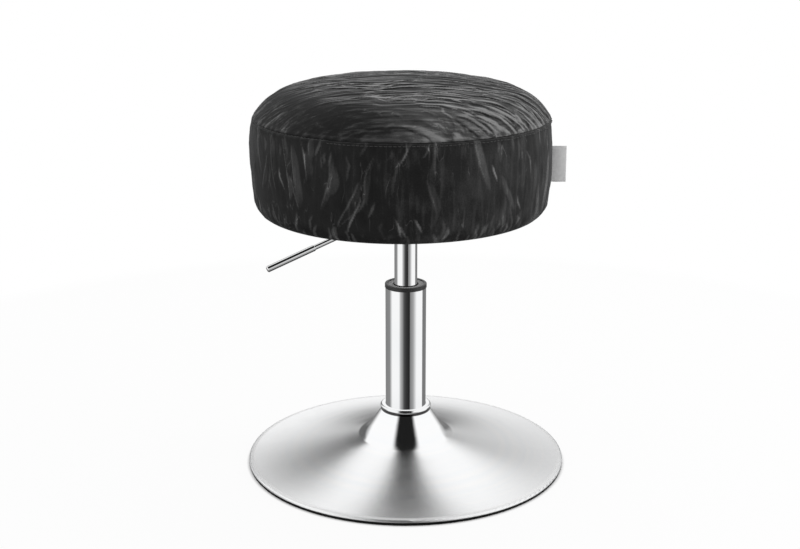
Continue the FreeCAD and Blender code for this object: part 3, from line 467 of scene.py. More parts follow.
def press(u, v, folds, round_length=None):
    """Height and painted highlight of folds pressed into a cloth: sharp on one side, falling away on the
    other. The shine is a highlight painted on the side that falls away from the sharp edge.
    """
    height = np.zeros(len(u))
    shine = np.zeros(len(u))
    for fold in folds:
        across = u - fold.u
        if round_length:
            across = np.mod(across + round_length / 2, round_length) - round_length / 2
        up = v - fold.v
        near = np.nonzero(across**2 + up**2 < (fold.length / 2 + fold.width) ** 2)[0]
        across, up = across[near], up[near]
        along = (across * math.sin(fold.lean) + up * math.cos(fold.lean)) * 2 / fold.length
        aside = across * math.cos(fold.lean) - up * math.sin(fold.lean) + fold.kink * np.abs(along - 0.2)
        taper = np.clip(1.0 - along**2, 0.0, 1.0)
        width = fold.width * (0.3 + 0.7 * taper)
        fall = np.clip(1.0 - aside / width, 0.0, 1.0)
        edge = ramp(aside, -FOLD_EDGE, 0.0) * np.sqrt(taper)
        height[near] = np.maximum(height[near], FOLD_STEEP * fold.width * edge * fall)
        shine[near] = np.maximum(shine[near], fold.shine * edge * ramp(fall, 0.0, 0.25))
    return height, shine


def top_creases(points, radius, angle, from_seam):
    """Height and painted light of the top's creases: folds across the seat, and gathers at its seam. The
    shine is a painted highlight; the back, the front and the gathers' side are painted lighter, the calm
    side darker.
    """
    flat = wander(points * (1.0, 1.0, 0.0), 0.070, 0.006, 5)
    flat = wander(flat, 0.016, 0.0020, 15)
    folds = scatter(
        330, seed=51, across=TOP_SPAN, up=TOP_SPAN,
        length=(0.022, 0.070), width=(0.003, 0.007), lean=(SIDEWAYS, 0.16), shine=(0.15, 0.65),
    )
    folds += scatter(
        480, seed=52, across=TOP_SPAN, up=TOP_SPAN,
        length=(0.008, 0.030), width=(0.0020, 0.0040), lean=(SIDEWAYS, 0.30), shine=(0.15, 0.75),
    )
    folds += scatter(
        240, seed=55, across=TOP_SPAN, up=TOP_SPAN,
        length=(0.007, 0.022), width=(0.0020, 0.0036), lean=(SIDEWAYS, 0.85), shine=(0.25, 0.80),
    )
    across, across_shine = press(flat[:, 0], flat[:, 1], folds)
    across += TOP_RIDGE * ridges(flat, (0.110, 0.016, 1.0), 7)
    calm = ramp(np.cos(angle - CALM_SIDE), 0.5, 0.9) * ramp(radius, 0.105, 0.150)
    front = ramp(np.cos(angle - FRONT_SIDE), 0.86, 0.97) * ramp(radius, 0.115, 0.150)

    edge = seam_radius * angle
    spokes = scatter(
        70, seed=53, across=seam_radius * np.array(RIGHT_GATHERS), up=(0.002, 0.026),
        length=(0.014, 0.036), width=(0.0030, 0.0065), lean=(0.0, 0.30), shine=(0.05, 0.26),
    )
    spokes += scatter(
        34, seed=54, across=seam_radius * np.array(LEFT_GATHERS), up=(0.004, 0.034),
        length=(0.018, 0.044), width=(0.0025, 0.0050), lean=(0.5, 0.35), shine=(0.20, 0.70),
    )
    gathers, gather_shine = press(edge, from_seam, spokes)
    gathered = np.maximum(ramp(np.cos(angle - GATHER_SIDE), 0.45, 0.90), ramp(-points[:, 0], 0.10, 0.14))
    gathered *= 1.0 - 0.6 * front
    gathers *= gathered
    gather_shine *= gathered
    height = np.maximum(across * (1.0 - 0.75 * calm) * (1.0 - 0.45 * front), gathers)
    # Painted light and shade in the colour: the gathers' side, the back and the front lighter, the calm
    # side darker; highlights brighter at the back, dimmer at the calm side and front.
    light = (0.10 * ramp(np.cos(angle - GATHER_SIDE), 0.0, 0.9) - 0.30 * calm) * ramp(radius, 0.06, 0.15)
    far = ramp(points[:, 1], -0.02, 0.15)
    dim = (1.0 - 0.8 * calm) * (1.0 - 0.6 * front)
    shine = np.maximum(across_shine * dim * (1.0 + 1.1 * far), gather_shine)
    return height, shine + light + 0.16 * far + 0.15 * front


def band_creases(points, angle):
    """Height and painted highlight (shine) of the band's creases: tall facets, thin lines, and gathers at
    seam and hem; the soft side of the band is painted lighter.
    """
    edge = seam_radius * angle
    level = points[:, 2]
    whole = 2 * math.pi * seam_radius
    span = (-whole / 2, whole / 2)
    folds = scatter(
        52, seed=61, across=span, up=(hem_height + 0.015, seam_height - 0.0102),
        length=(0.030, 0.085), width=(0.005, 0.012), lean=(0.05, 0.34), shine=(0.04, 0.34),
    )
    folds += scatter(
        70, seed=62, across=span, up=(hem_height + 0.015, seam_height - 0.0052),
        length=(0.016, 0.055), width=(0.0018, 0.0026), lean=(0.0, 0.45), shine=(0.10, 0.68),
    )
    folds += scatter(
        120, seed=63, across=span, up=(hem_height + 0.002, hem_height + 0.020),
        length=(0.012, 0.030), width=(0.0020, 0.0035), lean=(0.1, 0.30), shine=(0.10, 0.45),
    )
    folds += scatter(
        60, seed=64, across=span, up=(seam_height - 0.0202, seam_height - 0.0012),
        length=(0.010, 0.026), width=(0.0020, 0.0040), lean=(0.0, 0.30), shine=(0.05, 0.40),
    )
    moved = wander(points, 0.045, 0.006, 9) - points
    sway = moved[:, 1] * np.cos(angle) - moved[:, 0] * np.sin(angle)
    height, shine = press(edge + sway, level, folds, whole)
    height += BAND_FACET * facets(twisted(points, 2.0), (0.026, 0.026, 0.110), 12)
    soft = ramp(np.cos(angle - FOLD_SIDE), 0.2, 0.9)
    height += BAND_SWELL * smooth(points, (0.024, 0.024, 0.30), 23) * soft
    return height, shine + 0.13 * soft


def crease(cushion):
    """Presses the crushed velvet's creases into the cover, and stores painted light in a colour attribute:
    the velvet's base level plus the highlights and shade its creases would catch.
    """
    mesh = cushion.data
    points = points_of(mesh)
    normals = points_of(mesh, "normal")
    radius = np.hypot(points[:, 0], points[:, 1])
    angle = np.arctan2(points[:, 1], points[:, 0])
    on_top = points[:, 2] > seam_height
    along = np.interp(radius, panel_line.points[:, 0], panel_line.distance)
    from_seam = np.where(on_top, panel_line.length - along, seam_height - points[:, 2])
    top_height, top_shine = top_creases(points, radius, angle, from_seam)
    band_height, band_shine = band_creases(points, angle)
    height = np.where(on_top, top_height, band_height) - CREASE_SINK
    height *= ramp(from_seam, 0.001, 0.007) * ramp(normals[:, 2], -0.9, -0.6)

    round_the_seam = np.stack([np.cos(angle), np.sin(angle), 0.3 * on_top], axis=1) * seam_radius
    pucker = smooth(round_the_seam, PUCKER_SIZE, 31)
    height += PUCKER_DEPTH * pucker * np.exp(-from_seam / PUCKER_REACH) * ramp(from_seam, 0.0, 0.002)
    under = ramp(PLEAT_RADIUS - radius, 0.0, 0.010) * ramp(-normals[:, 2], 0.8, 0.98)
    tucks = ridges(np.stack([np.cos(angle), np.sin(angle), radius], axis=1), (0.06, 0.06, 1.0), 32)
    height -= PLEAT_DEPTH * tucks * under * ramp(radius, hem_radius, hem_radius + 0.004)

    mesh.vertices.foreach_set("co", (points + normals * height[:, None]).ravel())
    mesh.update()
    tilt = points_of(mesh, "normal") - normals
    # Painted light and shade: flanks tilted towards TOP_LIGHT on the top, and one way round the band on its
    # side, are painted lighter in the colour attribute.
    side_light = np.stack([np.sin(angle), -np.cos(angle), np.full(len(angle), 0.25)], axis=1)
    top_lit = TOP_NAP + top_shine + 1.6 * tilt @ np.array(TOP_LIGHT)
    band_lit = BAND_NAP + band_shine + 0.8 * np.maximum(0.0, np.sum(tilt * side_light, axis=1) - 0.02)
    nap_and_painted_light = np.clip(np.where(on_top, top_lit, band_lit), 0.0, 1.0)

    points = points_of(mesh)
    above_hem = ramp(points[:, 2], hem_height + 0.002, hem_height + 0.016)
    outside_hem = ramp(radius, hem_radius + 0.002, hem_radius + 0.022)
    points[:, 0] += COVER_LEAN * np.maximum(above_hem, outside_hem)
    mesh.vertices.foreach_set("co", points.ravel())
    marks = mesh.attributes.new("nap_and_painted_light", "FLOAT", "POINT")
    marks.data.foreach_set("value", nap_and_painted_light)
    mesh.shade_smooth()
    mesh.update()


def make_cushion():
    points, faces, top_count = cover_mesh()
    loose = add_mesh("loose_cover", points, faces)
    points = crumple(loose, points, top_count)
    bpy.data.objects.remove(loose)
    cover = add_mesh("cover", points, faces)
    finer = cover.modifiers.new("finer", "SUBSURF")
    finer.levels = 1
    finer.render_levels = 1
    cushion = settle(cover, "seat_cushion")
    crease(cushion)
    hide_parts("cover_top_panel", "cover_side_band", "seat_foam")
    return cushion


# Thread, staples, dust cloth and tab


def wire(path, radius, sides=8):
    """Points and faces of a round wire along a path, closed at both ends."""
    path = np.array(path)
    points, faces = [], []
    for index, centre in enumerate(path):
        ahead = path[min(index + 1, len(path) - 1)] - path[max(index - 1, 0)]
        turn = Vector(ahead).to_track_quat("Z", "Y").to_matrix()
        for side in range(sides):
            around = 2 * math.pi * side / sides
            spoke = turn @ Vector((math.cos(around), math.sin(around), 0.0))
            points.append(centre + radius * np.array(spoke))
    for start in range(0, len(points) - sides, sides):
        for side in range(sides):
            after = (side + 1) % sides
            faces.append((start + side, start + after, start + sides + after, start + sides + side))
    faces.append(tuple(reversed(range(sides))))
    faces.append(tuple(range(len(points) - sides, len(points))))
    return points, faces


def add_wires(name, paths, radius):
    """One object that holds a round wire along each path."""
    points, faces = [], []
    for path in paths:
        more, more_faces = wire(path, radius)
        faces += [tuple(len(points) + i for i in face) for face in more_faces]
        points += more
    return add_mesh(name, points, faces)


def make_stitches(cushion):
    """A row of topstitches on the band, just below the seam, each sunk into the velvet at its ends."""
    surface = BVHTree.FromObject(cushion, bpy.context.evaluated_depsgraph_get())
    radius, height = band_line.at(STITCH_BELOW)
    share = np.linspace(-0.5, 0.5, 7)
    paths = []
    for number in range(STITCHES):
        path = []
        for step in share:
            angle = 2 * math.pi * (number + step * STITCH_SHARE) / STITCHES
            aim = Vector((radius * math.cos(angle), radius * math.sin(angle), height))
            place, normal, _, _ = surface.find_nearest(aim)
            rise = float(STITCH_RADIUS * (0.7 - 6.0 * step**2))
            path.append(place + rise * normal)
        paths.append(path)
    return add_wires("seam_stitches", paths, STITCH_RADIUS)


def make_dust_cloth():
    """The black cloth under the board: a stretched disc, drawn up a little at its staples."""
    low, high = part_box("dust_cover")
    rim = ring(high.x, 0.0)[:, :2]
    flat, faces = filled_ring(rim, DUST_SPACING)
    distance = np.hypot(flat[:, 0], flat[:, 1])
    angle = np.arctan2(flat[:, 1], flat[:, 0])
    free = ramp(distance, *DUST_LOOSE) * (1.0 - ramp(distance, *DUST_HELD))
    slack = 0.5 + 0.5 * np.cos(angle * STAPLES)
    wave = 0.0004 * smooth(np.column_stack([flat, np.zeros(len(flat))]), 0.025, 41)
    drop = DUST_SAG * free * (1.0 - slack) + wave * ramp(distance, *DUST_WAVES)
    cloth = add_mesh("dust_cloth", np.column_stack([flat, low.z + DUST_THICK - drop]), faces)
    body = cloth.modifiers.new("body", "SOLIDIFY")
    body.thickness = DUST_THICK
    body.offset = 1.0
    cloth = settle(cloth, "dust_cloth_sheet")
    cloth.data.shade_smooth()
    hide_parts("dust_cover")
    return cloth


def make_staples():
    """Steel staples that hold the dust cloth, lying nearly along its edge."""
    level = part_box("dust_cover")[0].z - STAPLE_RADIUS * 0.5
    paths = []
    for number in range(STAPLES):
        angle = 2 * math.pi * number / STAPLES
        middle = np.array([STAPLE_CIRCLE * math.cos(angle), STAPLE_CIRCLE * math.sin(angle), level])
        lean = angle + math.pi / 2 + 0.35 * noise.noise((number * 1.7, 0.3, 0.8))
        reach = np.array([math.cos(lean), math.sin(lean), 0.0]) * STAPLE_WIDTH / 2
        up = np.array([0.0, 0.0, STAPLE_LEG])
        paths.append([middle - reach + up, middle - reach, middle + reach, middle + reach + up])
    return add_wires("dust_staples", paths, STAPLE_RADIUS)


def make_tab():
    """A bare grey tape, folded in half and caught in the side of the cover."""
    low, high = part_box("side_label")
    half = (high.y - low.y) / 2 - TAPE_THICK / 2
    end = high.x - TAB_SHORT
    run = np.linspace(TAB_ROOT, end - half, 12)
    bend = np.linspace(-math.pi / 2, math.pi / 2, 9)[1:-1]
    swell = half + TAB_OPEN * np.sin(np.linspace(0.0, math.pi, len(run)))
    line = [(x, -y) for x, y in zip(run, swell)]
    line += [(end - half + half * math.cos(a), half * math.sin(a)) for a in bend]
    line += [(x, y) for x, y in zip(run[::-1], swell[::-1])]
    heights = np.linspace(low.z, high.z, 15)
    points, faces = [], []
    for height in heights:
        for x, y in line:
            out = (x - TAB_ROOT) / (end - TAB_ROOT)
            sway = TAB_SWAY * math.sin(3.15 * out + 40.0 * height)
            points.append((x, y + sway * out, height))
    wide = len(line)
    for row in range(len(heights) - 1):
        for i in range(wide - 1):
            first = row * wide + i
            faces.append((first, first + 1, first + wide + 1, first + wide))
    tab = add_mesh("tab", points, faces)
    body = tab.modifiers.new("body", "SOLIDIFY")
    body.thickness = TAPE_THICK
    body.offset = 0.0
    tab = settle(tab, "side_tab")
    tab.data.shade_smooth()
    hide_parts("side_label")
    return tab


# Finishes


def grey(level):
    return (level, level, level, 1.0)


class Graph:
    """A node tree that is filled node by node."""

    def __init__(self, tree):
        self.tree = tree

    def join(self, value, socket):
        """Gives a socket a constant, or the output of another node."""
        if isinstance(value, bpy.types.NodeSocket):
            self.tree.links.new(value, socket)
        else:
            socket.default_value = value

    def node(self, kind, inputs, output=0, **options):
        """A new node with its inputs and options set, as one of its outputs."""
        made = self.tree.nodes.new("ShaderNode" + kind)
        for option, value in options.items():
            setattr(made, option, value)
        for name, value in inputs.items():
            self.join(value, made.inputs[name])
        return made.outputs[output]

    def reckon(self, operation, *values):
        return self.node("Math", dict(enumerate(values)), operation=operation)

    def spread(self, value, low, high, start=0.0, end=1.0, kind="LINEAR"):
        """The value's range from start to end, mapped to low to high."""
        limits = {0: value, 1: start, 2: end, 3: low, 4: high}
        return self.node("MapRange", limits, interpolation_type=kind)

    def blend(self, factor, first, second):
        return self.node("Mix", {0: factor, 6: first, 7: second}, output=2, data_type="RGBA")

    def steps(self, value, stops, interpolation="LINEAR"):
        """A colour ramp through (place, grey level) stops."""
        made = self.node("ValToRGB", {0: value}).node
        made.color_ramp.interpolation = interpolation
        elements = made.color_ramp.elements
        for index, (place, level) in enumerate(stops):
            element = elements[index] if index < 2 else elements.new(place)
            element.position = place
            element.color = grey(level)
        return made.outputs[0]


class Finish(Graph):
    """A material: its Principled shader and the nodes that feed it."""

    def __init__(self, name, colour, roughness, metallic=0.0, **sockets):
        self.material = bpy.data.materials.new(name)
        self.material.use_nodes = True
        super().__init__(self.material.node_tree)
        self.shader = self.tree.nodes["Principled BSDF"]
        self.set(Base_Color=colour, Roughness=roughness, Metallic=metallic, **sockets)

    def set(self, **sockets):
        for name, value in sockets.items():
            self.join(value, self.shader.inputs[name.replace("_", " ")])

    def place(self, stretch=(1.0, 1.0, 1.0)):
        """The piece's own coordinates, in metres, times a stretch."""
        own = self.node("TexCoord", {}, output=3)
        return self.node("VectorMath", {0: own, 1: stretch}, operation="MULTIPLY")

    def mottle(self, size, detail=3.0, stretch=(1.0, 1.0, 1.0)):
        """Noise from 0 to 1 with features of the given size in metres."""
        return self.node("TexNoise", {"Vector": self.place(stretch), "Scale": 1.0 / size, "Detail": detail})

    def rings(self, size, detail=2.0):
        """Noise that depends only on the distance from the Z axis, like tool marks of a lathe."""
        return self.node(
            "TexNoise", {"W": self.radius(), "Scale": 1.0 / size, "Detail": detail}, noise_dimensions="1D"
        )

    def radius(self):
        return self.node("VectorMath", {0: self.place((1.0, 1.0, 0.0))}, output=1, operation="LENGTH")

    def hairlines(self, size, stretch, width):
        """Thin lines, 1 along their middle, where a noise of the given size passes its mean."""
        off = self.reckon("ABSOLUTE", self.reckon("SUBTRACT", self.mottle(size, 3.0, stretch), 0.5))
        return self.spread(off, 1.0, 0.0, 0.0, width)

    def relief(self, height, depth, strength=1.0):
        bump = self.node("Bump", {"Height": height, "Distance": depth, "Strength": strength})
        self.set(Normal=bump)


def polished_chrome():
    finish = Finish("polished_chrome", grey(0.80), 0.07, metallic=1.0)
    smear = finish.mottle(0.05, stretch=(1.0, 1.0, 0.35))
    finish.set(Roughness=finish.spread(smear, 0.045, 0.09, 0.35, 0.65))
    tint = finish.spread(finish.mottle(0.11), 0.0, 1.0, 0.3, 0.7)
    finish.set(Base_Color=finish.blend(tint, (0.78, 0.79, 0.80, 1.0), (0.82, 0.82, 0.82, 1.0)))
    scratches = finish.mottle(0.0004, detail=1.0, stretch=(1.0, 1.0, 0.02))
    finish.relief(scratches, 0.000004)
    return finish.material


def satin_chrome():
    """Spun chrome: bright on the neck's cone, satin on the flare, with a trace of lathe marks.

    A painted shade line darkens the joint below the neck's ring. The lip's lower edge, next to the rubber,
    is painted dark: partly the rubber trim wrapping it, partly painted shade.
    """
    finish = Finish("satin_chrome", grey(0.84), 0.2, metallic=1.0)
    finish.set(Anisotropic=0.5, Anisotropic_Rotation=0.25)
    finish.set(Tangent=finish.node("Tangent", {}, direction_type="RADIAL", axis="Z"))
    satin = finish.spread(finish.radius(), 0.09, 0.19, *CONE_TO_FLARE)
    satin = finish.reckon("ADD", satin, finish.spread(finish.radius(), 0.0, 0.24, *FLARE_TO_LIP))
    grain = finish.spread(finish.mottle(0.02), -0.008, 0.008, 0.3, 0.7)
    finish.set(Roughness=finish.reckon("ADD", satin, grain))
    shade = finish.spread(finish.rings(0.009), 0.0, 1.0, 0.3, 0.7)
    metal = finish.blend(shade, (0.83, 0.84, 0.85, 1.0), (0.85, 0.85, 0.85, 1.0))
    # Painted shade: a dark line in the joint below the neck's ring, where shade falls between ring and
    # cone.
    painted_neck_shade = finish.spread(finish.radius(), 0.0, 1.0, *NECK_SHADE_LINE)
    metal = finish.blend(painted_neck_shade, grey(0.05), metal)
    height = finish.node("SeparateXYZ", {0: finish.place()}, output=2)
    # Painted dark along the lip's lower edge: partly the rubber trim wrapping it, partly painted shade.
    rubber_and_shade_bead = finish.spread(height, 0.0, 1.0, *LIP_RUBBER_AND_SHADE)
    finish.set(Base_Color=finish.blend(rubber_and_shade_bead, grey(0.02), metal))
    return finish.material


def moulded(name, level, rough, grain, depth, gloss=0.35):
    """Moulded plastic or rubber with a fine moulded grain."""
    finish = Finish(name, grey(level), rough, Specular_IOR_Level=gloss)
    cloud = finish.spread(finish.mottle(0.012), 0.0, 1.0, 0.3, 0.7)
    finish.set(Base_Color=finish.blend(cloud, grey(level * 0.8), grey(level * 1.25)))
    finish.set(Roughness=finish.spread(finish.mottle(0.004), rough - 0.06, rough + 0.06, 0.3, 0.7))
    finish.relief(finish.mottle(grain, detail=2.0), depth)
    return finish.material


def turned_metal(name, colour, rough):
    """Metal from a lathe, with fine rings and a little wear."""
    finish = Finish(name, (*colour, 1.0), rough, metallic=1.0)
    finish.set(Anisotropic=0.4, Anisotropic_Rotation=0.25)
    finish.set(Tangent=finish.node("Tangent", {}, direction_type="RADIAL", axis="Z"))
    worn = finish.spread(finish.mottle(0.015), 0.0, 1.0, 0.3, 0.7)
    darker = tuple(0.86 * c for c in colour)
    finish.set(Base_Color=finish.blend(worn, (*darker, 1.0), (*colour, 1.0)))
    finish.set(Roughness=finish.spread(finish.mottle(0.003), rough - 0.05, rough + 0.07, 0.3, 0.7))
    finish.relief(finish.rings(0.0004), 0.00001)
    return finish.material


def zinc_plate():
    """Zinc plate: a faint blue and yellow bloom in small crystals."""
    finish = Finish("zinc_steel", (0.62, 0.64, 0.66, 1.0), 0.35, metallic=1.0)
    crystal = finish.node("TexVoronoi", {"Vector": finish.place(), "Scale": 240.0}, output=1)
    level = finish.node("SeparateColor", {0: crystal})
    finish.set(Base_Color=finish.blend(level, (0.56, 0.59, 0.64, 1.0), (0.66, 0.66, 0.62, 1.0)))
    finish.set(Roughness=finish.spread(level, 0.3, 0.42))
    finish.relief(finish.mottle(0.0008), 0.00001)
    return finish.material


def powder_coat():
    """Black powder coat with its orange-peel surface."""
    finish = Finish("black_steel", grey(0.03), 0.42)
    finish.set(Roughness=finish.spread(finish.mottle(0.006), 0.36, 0.5, 0.3, 0.7))
    dust = finish.spread(finish.mottle(0.02), 0.0, 1.0, 0.4, 0.75)
    finish.set(Base_Color=finish.blend(dust, grey(0.026), grey(0.04)))
    finish.relief(finish.mottle(0.0011, detail=1.0), 0.00006)
    return finish.material


def cast_ballast():
    finish = Finish("ballast", (0.42, 0.41, 0.39, 1.0), 0.9)
    stone = finish.spread(finish.mottle(0.006, detail=6.0), 0.0, 1.0, 0.3, 0.7)
    finish.set(Base_Color=finish.blend(stone, (0.34, 0.33, 0.31, 1.0), (0.50, 0.49, 0.46, 1.0)))
    finish.relief(finish.mottle(0.002, detail=5.0), 0.0003)
    return finish.material


def plywood():
    """Birch plywood: grain along X on the faces, thin layers at the edge."""
    finish = Finish("plywood", (0.62, 0.45, 0.28, 1.0), 0.6)
    grain = finish.mottle(0.004, detail=5.0, stretch=(0.06, 1.0, 1.0))
    wave = {"Vector": finish.place(), "Scale": 110.0}
    layers = finish.node("TexWave", wave, output=1, bands_direction="Z")
    tone = finish.reckon("ADD", finish.spread(grain, 0.0, 0.7, 0.3, 0.7), finish.spread(layers, 0.0, 0.3))
    finish.set(Base_Color=finish.blend(tone, (0.50, 0.34, 0.19, 1.0), (0.70, 0.53, 0.35, 1.0)))
    finish.relief(grain, 0.0001)
    return finish.material


def velvet():
    """Crushed black velvet, its nap in patches. The light and shade of nap and creases are painted into its
    base colour: the attribute's painted highlights and shade, streaks of painted sheen and thin painted
    highlight lines.
    """
    finish = Finish("velvet", grey(0.02), 0.5, Specular_IOR_Level=0.16)
    finish.set(Sheen_Weight=0.08, Sheen_Roughness=0.30, Sheen_Tint=(0.85, 0.87, 0.9, 1.0))
    # The attribute holds the velvet's base level with painted highlights and shade.
    nap_and_painted_light = finish.node("Attribute", {}, output=2, attribute_name="nap_and_painted_light")
    fibre = finish.spread(finish.mottle(0.0014, detail=2.0), -0.05, 0.05, 0.3, 0.7)
    cloud = finish.spread(finish.mottle(0.025, detail=3.0), -0.07, 0.07, 0.3, 0.7)
    # Streaks of painted sheen, lighter and darker, along the top and down the band.
    top_streak = finish.mottle(0.0040, detail=4.0, stretch=(0.08, 1.0, 1.0))
    top_streak = finish.spread(top_streak, -0.16, 0.20, 0.36, 0.66)
    side_streak = finish.mottle(0.0050, detail=4.0, stretch=(1.0, 1.0, 0.10))
    side_streak = finish.spread(side_streak, -0.03, 0.10, 0.50, 0.72)
    height = finish.node("SeparateXYZ", {0: finish.place()}, output=2)
    on_top = finish.spread(height, 0.0, 1.0, seam_height - 0.002, seam_height + 0.002)
    streak = finish.node("Mix", {0: on_top, 2: side_streak, 3: top_streak})
    # Thin painted highlight lines, in patches.
    top_line = finish.hairlines(0.0085, (0.16, 1.0, 1.0), 0.016)
    side_line = finish.hairlines(0.020, (1.0, 1.0, 0.24), 0.007)
    patch = finish.spread(finish.mottle(0.022, detail=2.0), 0.0, 0.42, 0.46, 0.60)
    line = finish.node("Mix", {0: on_top, 2: side_line, 3: top_line})
    streak = finish.reckon("MULTIPLY_ADD", line, patch, streak)
    tone_and_painted_light = finish.reckon("ADD", nap_and_painted_light, streak)
    tone_and_painted_light = finish.reckon("ADD", finish.reckon("ADD", tone_and_painted_light, fibre), cloud)
    finish.set(Base_Color=finish.steps(tone_and_painted_light, [(0.0, 0.005), (0.2, 0.012), (0.55, 0.055), (1.0, 0.19)]))
    finish.set(Roughness=finish.spread(nap_and_painted_light, 0.60, 0.42))
    finish.relief(finish.mottle(0.0008, detail=2.0), 0.00015)
    return finish.material


def thread():
    """Black polyester thread: a twist of fine strands."""
    finish = Finish("thread", grey(0.02), 0.5)
    strands = finish.mottle(0.0005, detail=1.0)
    finish.set(Base_Color=finish.blend(strands, grey(0.012), grey(0.05)))
    finish.relief(strands, 0.0001)
    return finish.material


def dust_cloth():
    """Black non-woven cloth: matted fibres and a grid of pressed points."""
    finish = Finish("dust_cloth", grey(0.03), 0.9, Sheen_Weight=0.1)
    matted = finish.spread(finish.mottle(0.0015, detail=4.0), 0.0, 1.0, 0.3, 0.7)
    finish.set(Base_Color=finish.blend(matted, grey(0.018), grey(0.045)))
    grid = {"Vector": finish.place((1.0, 1.0, 0.0)), "Scale": 420.0, "Randomness": 0.15}
    points = finish.node("TexVoronoi", grid)
    finish.relief(finish.spread(points, 0.0, 1.0, 0.1, 0.4), 0.0002)
    return finish.material


def woven_tape():
    """Grey satin tape with a fine rib across it."""
    finish = Finish("grey_tape", grey(0.64), 0.5, Sheen_Weight=0.15, Specular_IOR_Level=0.4)
    wave = {"Vector": finish.place(), "Scale": 520.0, "Distortion": 0.4}
    rib = finish.node("TexWave", wave, output=1, bands_direction="Z")
    soft = finish.spread(finish.mottle(0.004), 0.0, 1.0, 0.3, 0.7)
    finish.set(Base_Color=finish.blend(soft, grey(0.60), grey(0.68)))
    finish.relief(rib, 0.00006)
    return finish.material


def finish_frame():
    """Every shown CAD node takes the finish of its slot in the record, and the sleeve a grey of its own."""
    finishes = {
        "satin_chrome": satin_chrome(),
        "polished_chrome": polished_chrome(),
        "black_plastic": moulded("black_plastic", 0.03, 0.38, 0.0009, 0.00004),
        "black_rubber": moulded("black_rubber", 0.011, 0.68, 0.0006, 0.00005, gloss=0.06),
        "bare_steel": turned_metal("bare_steel", (0.55, 0.56, 0.58), 0.28),
        "zinc_steel": zinc_plate(),
        "black_steel": powder_coat(),
        "brass": turned_metal("brass", (0.72, 0.55, 0.28), 0.25),
        "aluminium": turned_metal("aluminium", (0.70, 0.71, 0.72), 0.3),
        "ballast": cast_ballast(),
        "plywood": plywood(),
        "grey_nylon": moulded("grey_nylon", 0.36, 0.45, 0.0009, 0.00004),
        "velvet": velvet(),
        "dust_cloth": dust_cloth(),
        "grey_tape": woven_tape(),
        "thread": thread(),
    }
    for node in nodes.values():
        slot = node.data.materials[0].name.split(".")[0]
        if slot in finishes:
            node.data.materials.clear()
            node.data.materials.append(finishes[slot])
    sleeve = nodes["guide_sleeve"].data.materials
    sleeve.clear()
    sleeve.append(finishes["grey_nylon"])
    return finishes


# Stage, light and camera


def make_floor():
    """A pale floor that shows white to the camera and keeps the stool's shadow."""
    corners = [(-FLOOR_REACH, -FLOOR_REACH, 0), (FLOOR_REACH, -FLOOR_REACH, 0)]
    corners += [(FLOOR_REACH, FLOOR_REACH, 0), (-FLOOR_REACH, FLOOR_REACH, 0)]
    floor = add_mesh("floor", corners, [(0, 1, 2, 3)])
    material = bpy.data.materials.new("floor")
    material.use_nodes = True
    graph = Graph(material.node_tree)
    graph.tree.nodes.remove(graph.tree.nodes["Principled BSDF"])
    own = graph.node("TexCoord", {}, output=3)
    cloud = graph.node("TexNoise", {"Vector": own, "Scale": 3.0})
    paper = graph.node("BsdfDiffuse", {"Color": graph.blend(cloud, grey(0.80), grey(0.82))})
    white = graph.node("Emission", {"Color": grey(1.0)})
    distance = graph.node("VectorMath", {0: own}, output=1, operation="LENGTH")
    near = graph.spread(distance, CONTACT_WHITE, SHADOW_WHITE, *CONTACT_REACH)
    share = graph.reckon("MAXIMUM", near, graph.spread(distance, 0.0, 1.0, *SHADOW_REACH))
    seen = graph.reckon("MULTIPLY", graph.node("LightPath", {}), share)
    mixed = graph.node("MixShader", {0: seen, 1: paper, 2: white})
    graph.join(mixed, graph.tree.nodes["Material Output"].inputs["Surface"])
    floor.data.materials.append(material)
    floor.visible_glossy = False


def backdrop(graph, across, up):
    """The wall behind the stool: a white sheet in an oval dark frame, which is fainter at the right."""
    wide = graph.reckon("DIVIDE", across, 0.30)
    rise = graph.reckon("MINIMUM", graph.reckon("SUBTRACT", up, 0.33), 0.17)
    tall = graph.reckon("DIVIDE", rise, 0.40)
    squares = graph.reckon("MULTIPLY_ADD", wide, wide, graph.reckon("MULTIPLY", tall, tall))
    reach = graph.reckon("MULTIPLY", graph.reckon("SQRT", squares), 0.4)
    white_sheet = [(0.0, BOX_LEVEL), (0.22, BOX_LEVEL)]
    dark_frame = [(0.29, 0.45), (0.36, 0.16), (0.62, 0.14), (0.70, 0.40)]
    pale_wall = [(0.85, 0.75), (1.0, BOX_LEVEL)]
    sheet = graph.steps(reach, [*white_sheet, *dark_frame, *pale_wall])
    faint = graph.spread(up, 0.10, 0.65, 0.05, 0.25)
    right = graph.spread(across, 0.0, faint, 0.0, 0.20)
    framed = graph.blend(right, sheet, grey(0.75))
    top_edge = graph.spread(across, 0.70, 0.53, -0.1, 0.1)
    over = graph.spread(graph.reckon("SUBTRACT", up, top_edge), 0.0, 1.0, -0.08, 0.08)
    return graph.blend(over, framed, grey(BOX_LEVEL))


